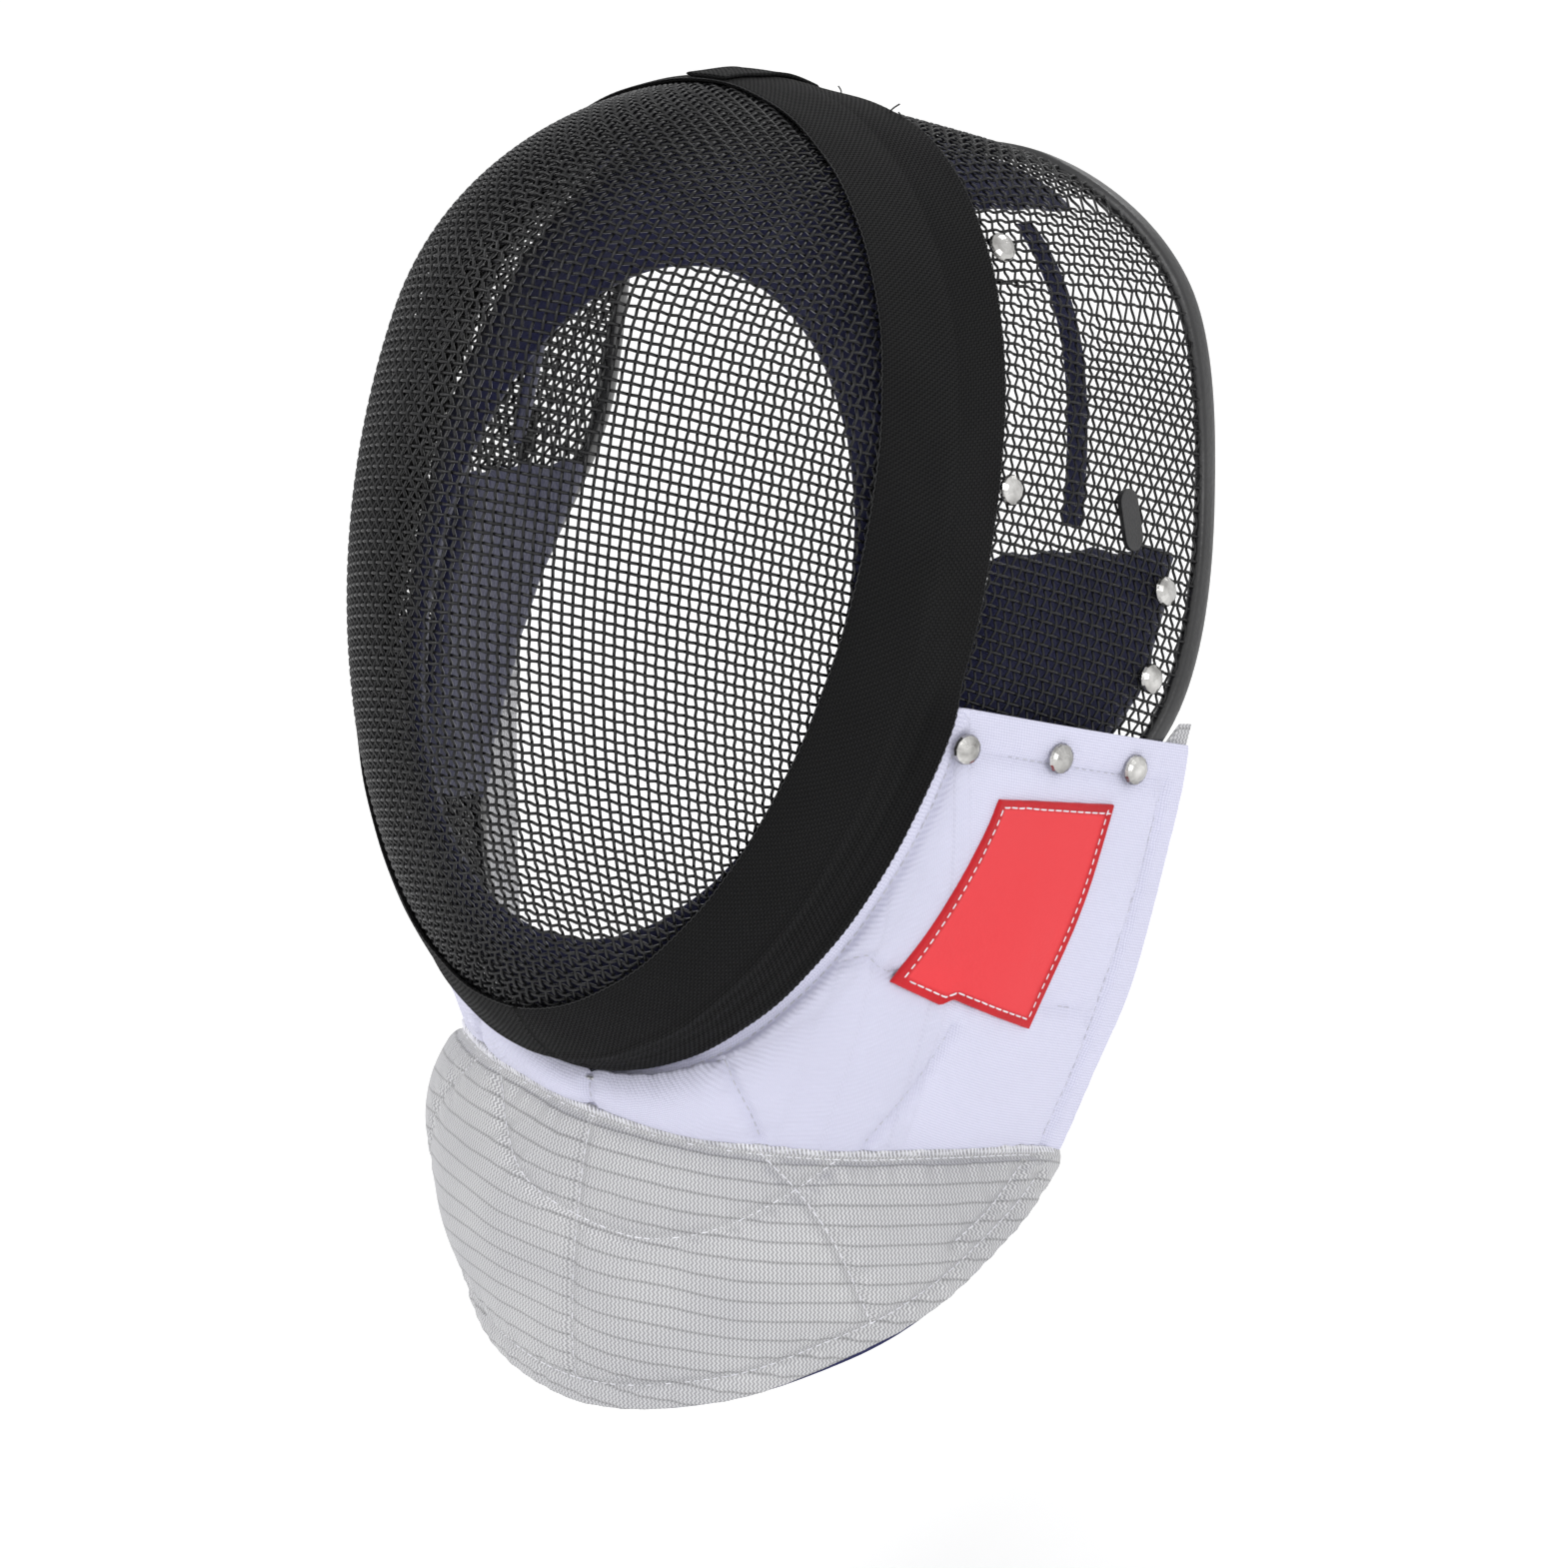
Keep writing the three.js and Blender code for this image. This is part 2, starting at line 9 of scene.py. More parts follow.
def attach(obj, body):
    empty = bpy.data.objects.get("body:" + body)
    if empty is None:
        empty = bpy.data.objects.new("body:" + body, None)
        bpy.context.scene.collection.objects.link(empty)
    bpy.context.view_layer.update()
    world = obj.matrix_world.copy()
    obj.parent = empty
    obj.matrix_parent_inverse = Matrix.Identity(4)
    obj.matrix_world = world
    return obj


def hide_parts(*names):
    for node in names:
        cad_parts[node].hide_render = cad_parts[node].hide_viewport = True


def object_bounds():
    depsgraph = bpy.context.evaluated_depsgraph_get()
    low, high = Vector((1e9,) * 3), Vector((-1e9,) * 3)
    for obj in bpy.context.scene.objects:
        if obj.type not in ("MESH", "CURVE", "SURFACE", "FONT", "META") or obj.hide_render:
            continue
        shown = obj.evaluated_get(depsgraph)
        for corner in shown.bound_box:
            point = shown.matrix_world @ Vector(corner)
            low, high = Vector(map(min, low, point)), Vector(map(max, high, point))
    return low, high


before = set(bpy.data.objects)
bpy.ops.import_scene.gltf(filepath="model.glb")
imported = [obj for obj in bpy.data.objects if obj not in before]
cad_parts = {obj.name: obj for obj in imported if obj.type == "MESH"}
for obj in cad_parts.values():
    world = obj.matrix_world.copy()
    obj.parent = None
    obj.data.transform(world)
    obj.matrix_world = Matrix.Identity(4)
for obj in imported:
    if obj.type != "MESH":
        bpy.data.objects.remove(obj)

cad_low, cad_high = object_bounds()

# ---- Front mesh ---------------------------------------------------------------------------------
# Plain-woven steel wire, drawn over a former into a deep dome and enamelled black. Its edge is
# welded to the side mesh all round the face opening, under the elastic tape.
MM = 0.001
HEAD_SEAT = np.array([0.0, 88.0, 111.0])
LEAN = math.radians(23.7)
RIM_HALF_HEIGHT = 147.5
RIM_HALF_WIDTH = 95.6
RIM_EGG = 0.063
RIM_FORWARD = 2.9
FACE_DEPTH = 117.3
FACE_APEX = 54.0
FACE_FULL_ABOVE = 0.74
FACE_FULL_BELOW = 0.62
FACE_FULL_ACROSS = 0.79
WIRE_PITCH = 3.12
WIRE_RADIUS = 0.52
WIRE_SIDES = 5
CRIMP_FLAT = 0.2
CROSS_LEVEL = -12.0
NET_ROWS = 66
NET_COLUMNS = 60
NET_SETTLING = 500
NET_PUSH = 1.5
NET_MARGIN = 30.0
PROFILE_STEPS = 7001
SIDEWAYS_REACH = 150.0
SIDEWAYS_STEPS = 3001
WIRE_TO_RIM = 3.0


def from_rim_plane(across, up, ahead):
    """Points in millimetres from their place across, up and ahead of the leaning rim plane."""
    across, up, ahead = np.broadcast_arrays(across, up, ahead)
    sin, cos = math.sin(LEAN), math.cos(LEAN)
    return np.stack([across, up * sin - ahead * cos, up * cos + ahead * sin], axis=-1)


def to_rim_plane(points):
    """The across, up and ahead of points in millimetres."""
    sin, cos = math.sin(LEAN), math.cos(LEAN)
    across, y, z = points[..., 0], points[..., 1], points[..., 2]
    return across, y * sin + z * cos, z * sin - y * cos


def face_half_width(up):
    cos = np.clip(up / RIM_HALF_HEIGHT, -1, 1)
    return RIM_HALF_WIDTH * np.sqrt(np.maximum(1 - cos**2, 1e-6)) * (1 + RIM_EGG * cos)


def face_ahead(across, up):
    """How far the dome stands ahead of the rim plane."""
    above = up > FACE_APEX
    span = np.where(above, RIM_HALF_HEIGHT - FACE_APEX, RIM_HALF_HEIGHT + FACE_APEX)
    level = np.abs(up - FACE_APEX) / span
    fullness = np.where(above, FACE_FULL_ABOVE, FACE_FULL_BELOW)
    profile = FACE_DEPTH * np.maximum(1 - level**2, 0) ** fullness
    section = np.maximum(1 - (across / face_half_width(up)) ** 2, 1e-5) ** FACE_FULL_ACROSS
    return profile * section + RIM_FORWARD * (across / RIM_HALF_WIDTH) ** 2


def face_slope(across, up, step=0.05):
    """The dome's outward direction, not yet of unit length, as across, up and ahead."""
    by_across = (face_ahead(across + step, up) - face_ahead(across - step, up)) / (2 * step)
    by_up = (face_ahead(across, up + step) - face_ahead(across, up - step)) / (2 * step)
    return np.stack([-by_across, -by_up, np.ones_like(by_up)], axis=-1)


def travelled(points, axis):
    """Distance along each line of a grid of points."""
    steps = np.linalg.norm(np.diff(points, axis=axis), axis=-1)
    start = np.zeros_like(np.take(steps, [0], axis=axis))
    return np.concatenate([start, np.cumsum(steps, axis=axis)], axis=axis)


def spaced_along(places, heights, start, pitch, count):
    """Places one pitch apart along a profile, counted from a starting place."""
    arc = travelled(np.stack([places, heights], axis=-1), 0)
    arc -= np.interp(start, places, arc)
    return np.interp(np.arange(count[0], count[1] + 1) * pitch, arc, places)


def face_net():
    """The wires' crossings on the wearer's left half of the dome: every crossing is one pitch from
    the next along both wires, as when a woven sheet is drawn without stretching."""
    highest = RIM_HALF_HEIGHT + NET_MARGIN
    levels = np.linspace(-highest, highest, PROFILE_STEPS)
    ups = spaced_along(
        levels, face_ahead(0 * levels, levels), CROSS_LEVEL, WIRE_PITCH, (-NET_ROWS, NET_ROWS)
    )
    sideways = np.linspace(0, SIDEWAYS_REACH, SIDEWAYS_STEPS)
    net = np.zeros((len(ups), NET_COLUMNS + 1, 3))
    for row, up in enumerate(ups):
        heights = face_ahead(sideways, np.full_like(sideways, up))
        across = spaced_along(sideways, heights, 0, WIRE_PITCH, (0, NET_COLUMNS))
        net[row, :, 0] = across
        net[row, :, 1] = up
        net[row, :, 2] = np.interp(across, sideways, heights)
    inside = (net[..., 0] < face_half_width(net[..., 1])) & (abs(net[..., 1]) < RIM_HALF_HEIGHT)
    live = inside.copy()
    live[1:] |= inside[:-1]
    live[:-1] |= inside[1:]
    live[:, 1:] |= inside[:, :-1]
    for _ in range(NET_SETTLING):
        move = np.zeros_like(net)
        shares = np.full(live.shape, 1e-9)
        for near, far in (
            ((slice(None, -1), slice(None)), (slice(1, None), slice(None))),
            ((slice(None), slice(None, -1)), (slice(None), slice(1, None))),
        ):
            gap = net[far] - net[near]
            length = np.linalg.norm(gap, axis=-1)
            held = live[far] & live[near]
            pull = gap * (held * 0.5 * (length - WIRE_PITCH) / np.maximum(length, 1e-6))[..., None]
            move[near] += pull
            move[far] -= pull
            shares[near] += held
            shares[far] += held
        net += NET_PUSH * move / shares[..., None]
        net[:, 0, 0] = 0
        slope = face_slope(net[..., 0], net[..., 1])
        off = net[..., 2] - face_ahead(net[..., 0], net[..., 1])
        net -= slope * (off / np.sum(slope**2, axis=-1))[..., None]
        net[:, 0, 0] = 0
    return net, live


def unit(vectors):
    return vectors / np.maximum(np.linalg.norm(vectors, axis=-1, keepdims=True), 1e-12)


def unbroken(flags):
    """Start and end of each stretch of true flags that is at least two long."""
    edges = np.flatnonzero(np.diff(np.concatenate([[0], flags.astype(int), [0]])))
    return [(a, b) for a, b in zip(edges[::2], edges[1::2]) if b - a >= 2]


def wire_lines(points, normals, kept, over):
    """Each wire's centre line, which lies flat over one crossing wire and flat under the next. The
    wires run along the second axis; over is 1 or -1 at each crossing."""
    lines = []
    for row in range(points.shape[0]):
        for start, end in unbroken(kept[row]):
            base = points[row, start:end]
            out = normals[row, start:end]
            crest = base + out * (over[row, start:end] * WIRE_RADIUS)[:, None]
            step = np.diff(base, axis=0) * CRIMP_FLAT
            line = np.empty((2 * len(base) - 2, 3))
            line[::2] = crest[:-1] + step
            line[1::2] = crest[1:] - step
            facing = np.repeat(out, 2, axis=0)[1:-1]
            lines.append((line, facing))
    return lines


def new_piece(name, points, faces, *finishes):
    """A smooth-shaded mesh object from points in millimetres, with the given materials."""
    mesh = bpy.data.meshes.new(name)
    placed = (np.asarray(points) - HEAD_SEAT) * MM
    corners = [list(map(int, face)) for face in faces]
    mesh.from_pydata(placed.tolist(), [], corners, shade_flat=False)
    for finish in finishes:
        mesh.materials.append(finish)
    piece = bpy.data.objects.new(name, mesh)
    bpy.context.scene.collection.objects.link(piece)
    return piece


def tube_mesh(lines, radius, sides):
    """Points and faces of round tubes along centre lines, with flat ends."""
    points, faces, first = [], [], 0
    turn = (np.arange(sides) * 2 * math.pi / sides)[None, :, None]
    for line, facing in lines:
        along = unit(np.gradient(line, axis=0))
        across = unit(np.cross(along, facing))
        out = np.cross(across, along)
        ring = np.cos(turn) * out[:, None] + np.sin(turn) * across[:, None]
        points.append((line[:, None] + radius * ring).reshape(-1, 3))
        count = len(line)
        start = first + np.arange(count - 1)[:, None] * sides
        here = start + np.arange(sides)
        beside = start + (np.arange(sides) + 1) % sides
        quads = np.stack([here, here + sides, beside + sides, beside], axis=-1).reshape(-1, 4)
        faces.extend(quads.tolist())
        faces.append([first + side for side in range(sides)])
        last = first + (count - 1) * sides
        faces.append([last + side for side in reversed(range(sides))])
        first += count * sides
    return np.concatenate(points), faces


def calc(tree, operation, *values):
    """A Math node in a shader tree, fed with sockets or plain numbers. Returns its output."""
    node = tree.nodes.new("ShaderNodeMath")
    node.operation = operation
    for socket, value in zip(node.inputs, values):
        if isinstance(value, (int, float)):
            socket.default_value = value
        else:
            tree.links.new(value, socket)
    return node.outputs[0]


def new_group(name, inputs, outputs):
    """An empty shader node group with named sockets, and its input and output nodes."""
    group = bpy.data.node_groups.new(name, "ShaderNodeTree")
    for label, kind, value in inputs:
        socket = group.interface.new_socket(label, in_out="INPUT", socket_type=kind)
        if value is not None:
            socket.default_value = value
    for label, kind in outputs:
        group.interface.new_socket(label, in_out="OUTPUT", socket_type=kind)
    return group, group.nodes.new("NodeGroupInput"), group.nodes.new("NodeGroupOutput")


def mottle_group():
    """Uneven wear and dust: a soft mask in patches of a given size in millimetres, and grit."""
    group, given, made = new_group(
        "mottle",
        [("Patch", "NodeSocketFloat", 30.0), ("Contrast", "NodeSocketFloat", 1.0)],
        [("Mask", "NodeSocketFloat"), ("Grit", "NodeSocketFloat")],
    )
    place = group.nodes.new("ShaderNodeTexCoord").outputs["Object"]
    scale = calc(group, "DIVIDE", 1000.0, given.outputs["Patch"])
    for label, finer in (("Mask", 1.0), ("Grit", 14.0)):
        cloud = group.nodes.new("ShaderNodeTexNoise")
        cloud.inputs["Detail"].default_value = 3
        group.links.new(place, cloud.inputs["Vector"])
        group.links.new(calc(group, "MULTIPLY", scale, finer), cloud.inputs["Scale"])
        centred = calc(group, "SUBTRACT", cloud.outputs["Fac"], 0.5)
        spread = calc(group, "MULTIPLY", centred, given.outputs["Contrast"])
        group.links.new(calc(group, "ADD", spread, 0.5), made.inputs[label])
    return group


mottle = mottle_group()


def place_group(tree, group, **values):
    node = tree.nodes.new("ShaderNodeGroup")
    node.node_tree = group
    for label, value in values.items():
        socket = node.inputs[label.replace("_", " ")]
        if isinstance(value, (int, float)):
            socket.default_value = value
        else:
            tree.links.new(value, socket)
    return node


def between(tree, amount, low, high):
    """A number that goes from low to high with an amount from 0 to 1."""
    node = tree.nodes.new("ShaderNodeMapRange")
    node.inputs["To Min"].default_value = low
    node.inputs["To Max"].default_value = high
    tree.links.new(amount, node.inputs["Value"])
    return node.outputs["Result"]


def blended(tree, amount, low, high):
    """A colour that goes from low to high with an amount from 0 to 1."""
    node = tree.nodes.new("ShaderNodeMix")
    node.data_type = "RGBA"
    tree.links.new(amount, node.inputs["Factor"])
    for socket, value in ((node.inputs["A"], low), (node.inputs["B"], high)):
        if isinstance(value, tuple):
            socket.default_value = (*value, 1)
        else:
            tree.links.new(value, socket)
    return node.outputs["Result"]


def relief(tree, shader, height, depth_mm):
    """Feeds a height, 0 to 1, through a Bump node of that depth into a shader's normal."""
    bump = tree.nodes.new("ShaderNodeBump")
    bump.inputs["Distance"].default_value = depth_mm * MM
    tree.links.new(height, bump.inputs["Height"])
    tree.links.new(bump.outputs["Normal"], shader.inputs["Normal"])


def new_finish(name, **sockets):
    """A material, its tree and its Principled shader with constant values set on the sockets."""
    finish = bpy.data.materials.new(name)
    finish.use_nodes = True
    shader = finish.node_tree.nodes["Principled BSDF"]
    for label, value in sockets.items():
        shader.inputs[label.replace("_", " ")].default_value = value
    return finish, finish.node_tree, shader


def mottled_finish(name, patch, contrast, tones, roughness, depth, **sockets):
    """A finish whose tone wanders in patches, and whose roughness and surface follow fine grit.
    The patch size and the depth are in millimetres."""
    finish, tree, shader = new_finish(name, **sockets)
    uneven = place_group(tree, mottle, Patch=patch, Contrast=contrast)
    mask, grit = uneven.outputs["Mask"], uneven.outputs["Grit"]
    tree.links.new(blended(tree, mask, *tones), shader.inputs["Base Color"])
    tree.links.new(between(tree, grit, *roughness), shader.inputs["Roughness"])
    relief(tree, shader, grit, depth)
    return finish


wire_enamel = mottled_finish(
    "enamelled_wire", patch=9.0, contrast=1.8, roughness=(0.22, 0.38), depth=0.03,
    tones=((0.003, 0.003, 0.0035), (0.012, 0.012, 0.013)), Specular_IOR_Level=0.32)

half_net, half_live = face_net()
mirrored_net = half_net[:, :0:-1] * np.array([-1, 1, 1])
net = np.concatenate([mirrored_net, half_net], axis=1)
live = np.concatenate([half_live[:, :0:-1], half_live], axis=1)
across, up, ahead = net[..., 0], net[..., 1], net[..., 2]
stands_clear = ahead - RIM_FORWARD * (across / RIM_HALF_WIDTH) ** 2 > WIRE_TO_RIM
kept = live & stands_clear & (abs(across) < face_half_width(up)) & (abs(up) < RIM_HALF_HEIGHT)
slope = unit(face_slope(across, up))
face_out = unit(from_rim_plane(slope[..., 0], slope[..., 1], slope[..., 2]))
face_crossings = from_rim_plane(across, up, ahead)
rows, columns = np.indices(kept.shape)
over = np.where((rows + columns) % 2 == 0, 1.0, -1.0)
cross_wires = wire_lines(face_crossings, face_out, kept, over)
upright_wires = wire_lines(
    face_crossings.swapaxes(0, 1), face_out.swapaxes(0, 1), kept.T, -over.T
)
for name, lines in (("front_cross_wires", cross_wires), ("front_upright_wires", upright_wires)):
    wires = new_piece(name, *tube_mesh(lines, WIRE_RADIUS, WIRE_SIDES), wire_enamel)
    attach(wires, "root")
    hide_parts("front_mesh")

# ---- Side mesh ----------------------------------------------------------------------------------
# A strip of the same woven wire, bent round the crown, temples and cheeks and open at the back.
# One set of wires goes round it as hoops, and the other runs straight back from the face opening.
BACK_EDGE = [
    {"angle": 0, "x": 0, "y": 115, "z": 102.5},
    {"angle": 28, "x": 62.5, "y": 126, "z": 104},
    {"angle": 55, "x": 100.5, "y": 139.5, "z": 67},
    {"angle": 80, "x": 112, "y": 133.5, "z": 1.5},
    {"angle": 100, "x": 120.5, "y": 98, "z": -52.5},
    {"angle": 118, "x": 105.5, "y": 55, "z": -87},
    {"angle": 138, "x": 80, "y": 18, "z": -117},
    {"angle": 158, "x": 40, "y": -13, "z": -140},
    {"angle": 180, "x": 0, "y": -25, "z": -148},
]
CROWN_BULGE = 4.3
HOOP_COUNT = 52
BACK_WIRES = 252
WIRE_TO_EDGE = 3.0
TRACE_ANGLES = 1801
TRACE_ALONG = (-0.05, 1.25, 90)
TRACE_HOOP = 12
HOOP_START = 0.8


def rim_point(angle):
    lateral = RIM_HALF_WIDTH * np.sin(angle) * (1 + RIM_EGG * np.cos(angle))
    forward = RIM_FORWARD * (lateral / RIM_HALF_WIDTH) ** 2
    return from_rim_plane(lateral, RIM_HALF_HEIGHT * np.cos(angle), forward)


def cubic(before, here, there, after, share):
    """A smooth curve's place a share of the way from one of its stations to the next."""
    leaving, arriving = (there - before) / 2, (after - here) / 2
    return (
        (2 * share**3 - 3 * share**2 + 1) * here
        + (share**3 - 2 * share**2 + share) * leaving
        + (3 * share**2 - 2 * share**3) * there
        + (share**3 - share**2) * arriving
    )


def back_edge(angle):
    """The side mesh's back edge: a smooth curve through the table and its mirror image."""
    stations = [np.array([row["x"], row["y"], row["z"]], float) for row in BACK_EDGE]
    flip = np.array([-1, 1, 1])
    ring = np.array([stations[1] * flip, *stations, stations[-2] * flip])
    marks = np.array([row["angle"] for row in BACK_EDGE], float)
    degrees = np.minimum(np.abs(np.degrees(angle)), 180)
    row = np.clip(np.searchsorted(marks, degrees, side="right") - 1, 0, len(marks) - 2)
    share = ((degrees - marks[row]) / (marks[row + 1] - marks[row]))[..., None]
    point = cubic(*(ring[row + shift] for shift in range(4)), share)
    point[..., 0] *= np.where(angle < 0, -1, 1)
    return point


def side_point(angle, along):
    """The side shell's surface, from the rim (along 0) to the back edge (along 1)."""
    angle, along = np.broadcast_arrays(np.asarray(angle, float), np.asarray(along, float))
    start = rim_point(angle)
    point = start + (back_edge(angle) - start) * along[..., None]
    bulge = CROWN_BULGE * 4 * along * (1 - along) * np.cos(angle / 2) ** 2
    out = point * np.array([1, 0, 1])
    return point + unit(out) * bulge[..., None]


def side_length(angle):
    return np.linalg.norm(back_edge(angle) - rim_point(angle), axis=-1)


def outward(points):
    """Outward direction within the rim plane."""
    lateral, up, _ = to_rim_plane(points)
    return unit(from_rim_plane(lateral, up, 0))


def side_offset(angle, along, distance):
    point = side_point(angle, along)
    return point + outward(point) * np.asarray(distance, float)[..., None]


def hoop_section(behind, angles, alongs):
    """The side surface's closed section a distance behind the rim plane: its points, and where
    each lies from the rim to the back edge."""
    depth = -to_rim_plane(side_point(angles[:, None], alongs[None]))[2]
    along = np.array([np.interp(behind, row, alongs) for row in depth])
    return side_point(angles, along), along


def side_net():
    """Crossings of the hoops with the wires that run back. The wires are one pitch apart on one
    hoop, and are traced square to the hoops from there. Also returns the way left to the edge."""
    angles = np.linspace(-math.pi, math.pi, TRACE_ANGLES)
    alongs = np.linspace(*TRACE_ALONG)
    middle, _ = hoop_section(TRACE_HOOP * WIRE_PITCH, angles, alongs)
    arc = travelled(middle, 0)
    marks = np.interp(np.arange(BACK_WIRES) / BACK_WIRES * arc[-1], arc, angles)
    places = np.zeros((HOOP_COUNT, BACK_WIRES, 3))
    reach = np.zeros((HOOP_COUNT, BACK_WIRES))
    for order in (range(TRACE_HOOP, HOOP_COUNT), range(TRACE_HOOP - 1, -1, -1)):
        for hoop in order:
            section, along = hoop_section(hoop * WIRE_PITCH + HOOP_START, angles, alongs)
            if hoop == TRACE_HOOP:
                last = section[np.searchsorted(angles, marks)]
            elif hoop == TRACE_HOOP - 1:
                last = places[TRACE_HOOP]
            gap = np.linalg.norm(section[None] - last[:, None], axis=-1)
            nearest = np.argmin(gap, axis=1)
            places[hoop] = section[nearest]
            reach[hoop] = (1 - along[nearest]) * side_length(angles[nearest])
            last = places[hoop]
    return places, reach


hoops, left_to_edge = side_net()
side_kept = left_to_edge > WIRE_TO_EDGE
step_round = np.roll(hoops, -1, axis=1) - np.roll(hoops, 1, axis=1)
step_back = np.gradient(hoops, axis=0)
side_out = unit(np.cross(step_round, step_back))
side_out *= np.sign(np.sum(side_out * outward(hoops), axis=-1))[..., None]
rows, columns = np.indices(side_kept.shape)
over = np.where((rows + columns) % 2 == 0, 1.0, -1.0)
closed = [
    np.concatenate([grid, grid[:, :1]], axis=1) for grid in (hoops, side_out, side_kept, over)
]
hoop_wires = wire_lines(*closed)
back_wires = wire_lines(
    hoops.swapaxes(0, 1), side_out.swapaxes(0, 1), side_kept.T, -over.T
)
for name, lines in (("side_hoop_wires", hoop_wires), ("side_back_wires", back_wires)):
    wires = new_piece(name, *tube_mesh(lines, WIRE_RADIUS, WIRE_SIDES - 1), wire_enamel)
    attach(wires, "root")
    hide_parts("side_mesh")

# ---- Rear edging --------------------------------------------------------------------------------
# A black rubbery strip folded over the cut back edge of the side mesh and glued.
EDGING_WIDTH = 8.0
EDGING_THICK = 4.4
EDGING_STEPS = 288
EDGING_SIDES = 20
EDGING_SQUARE = 0.6
LIP_RISE = 0.25
LIP_PLACE = -0.72
LIP_WIDTH = 0.16


def closed_ring(section, steps, sides):
    """Points and quads of a ring swept round the rim angles. The section maps (angle, share)
    arrays to points."""
    angle = (np.arange(steps) / steps * 2 - 1) * math.pi
    share = np.arange(sides) / sides
    points = section(*np.broadcast_arrays(angle[:, None], share[None])).reshape(-1, 3)
    step, side = (grid.ravel() for grid in np.indices((steps, sides)))
    far, beside = (step + 1) % steps, (side + 1) % sides
    quads = np.stack([
        step * sides + side, step * sides + beside, far * sides + beside, far * sides + side
    ], axis=-1)
    return points, quads


def edging_section(angle, share):
    """A flat oval over the shell's edge, with a raised lip along its front."""
    phase = share * 2 * math.pi
    cos, sin = np.cos(phase), np.sin(phase)
    across = np.sign(cos) * np.abs(cos) ** EDGING_SQUARE
    along = 1 - (EDGING_WIDTH / 2) * (1 - across) / side_length(angle)
    lip = LIP_RISE * np.exp(-(((across - LIP_PLACE) / LIP_WIDTH) ** 2))
    return side_offset(angle, along, (EDGING_THICK / 2) * sin + lip * np.sign(sin))


rubber = mottled_finish(
    "edging_rubber", patch=22.0, contrast=1.6, roughness=(0.24, 0.42), depth=0.08,
    tones=((0.008, 0.008, 0.009), (0.02, 0.02, 0.021)), Coat_Weight=0.1, Coat_Roughness=0.25)
edging_shape = closed_ring(edging_section, EDGING_STEPS, EDGING_SIDES)
edging = new_piece("edging_strip", *edging_shape, rubber)
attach(edging, "root")
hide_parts("rear_edging")

# ---- Liners -------------------------------------------------------------------------------------
# Foam pads covered in navy cloth, sewn through in channels: a collar round the face, a pad in the
# crown, two at the cheeks, and a thin strap at each temple. They are glued and tied to the mesh.
MESH_WALL = 2.0
LINER_THICK = 10.0
FACE_HOLE = {"half_width": 74, "half_height": 102, "centre": -13, "forward": 10}
PAD_INSET = 4.2
PADS = [
    {"name": "crown_cushion", "node": "crown_pad", "from": -40, "to": 40,
     "start": 0.16, "end": 0.9, "thick": 5.4, "columns": 70, "rows": 30},
    *({"name": "cheek_cushion_" + side, "node": "cheek_pad_" + side, "from": first, "to": last,
       "start": 0.2, "end": 0.94, "thick": 5.4, "columns": 36, "rows": 26}
      for side, first, last in (("left", 82, 128), ("right", -128, -82))),
    *({"name": "temple_strap_" + side, "node": "temple_strip_" + side, "from": first, "to": last,
       "start": 0.46, "end": 0.54, "thick": 2.4, "columns": 40, "rows": 12}
      for side, first, last in (("left", 41.2, 81), ("right", -81, -41.2))),
]
PAD_ENDS = {"wide": 6, "long": 5}
THIN_PAD = 4.0
PAD_ROOM = 1.2
PAD_RADIUS = 110.0
PAD_CHANNEL = math.radians(14)
CHANNEL_WIDTH = 2.6
CHANNEL_DEPTH = 1.1
SWELL_FRAMES = 20
SWELL_PRESSURE = 4
SWELL_LIMIT = 1.3
SMOOTHING = 10
PAD_VOXEL = 3.0
COLLAR_RADIUS = 100.0
COLLAR_WIDTH_SHARE = 0.93
COLLAR_HEIGHT_SHARE = 0.95
COLLAR_BEHIND_RIM = 4.0
COLLAR_STEPS = 300
COLLAR_SIDES = 24


def packed(lengths, count, edge):
    """Distances from 0 to each length, with a few packed into both ends so that they can be
    rounded."""
    lengths = np.asarray(lengths, float)[..., None]
    near = edge * np.array([0, 0.08, 0.25, 0.5, 0.8])
    middle = edge + np.linspace(0, 1, count) * (lengths - 2 * edge)
    every = np.ones_like(lengths)
    return np.concatenate([near * every, middle, lengths - near[::-1]], axis=-1)


def rounded(places, lengths, edge):
    """Half thickness as a share: 1 inside, falling to 0 round both ends."""
    inset = np.clip(np.minimum(places, lengths - places) / edge, 0, 1)
    return np.sqrt(np.maximum(1 - (1 - inset) ** 2, 0))


def grid_quads(rows, columns, first, flip):
    """Quads between lines of a grid of points. rows holds each line's number and the next one's."""
    i, j = (grid.ravel() for grid in np.meshgrid(rows[0], np.arange(columns - 1), indexing="ij"))
    k, m = rows[1][i], columns
    quads = np.stack([i * m + j, k * m + j, k * m + j + 1, i * m + j + 1], axis=-1) + first
    return quads[:, ::-1] if flip else quads


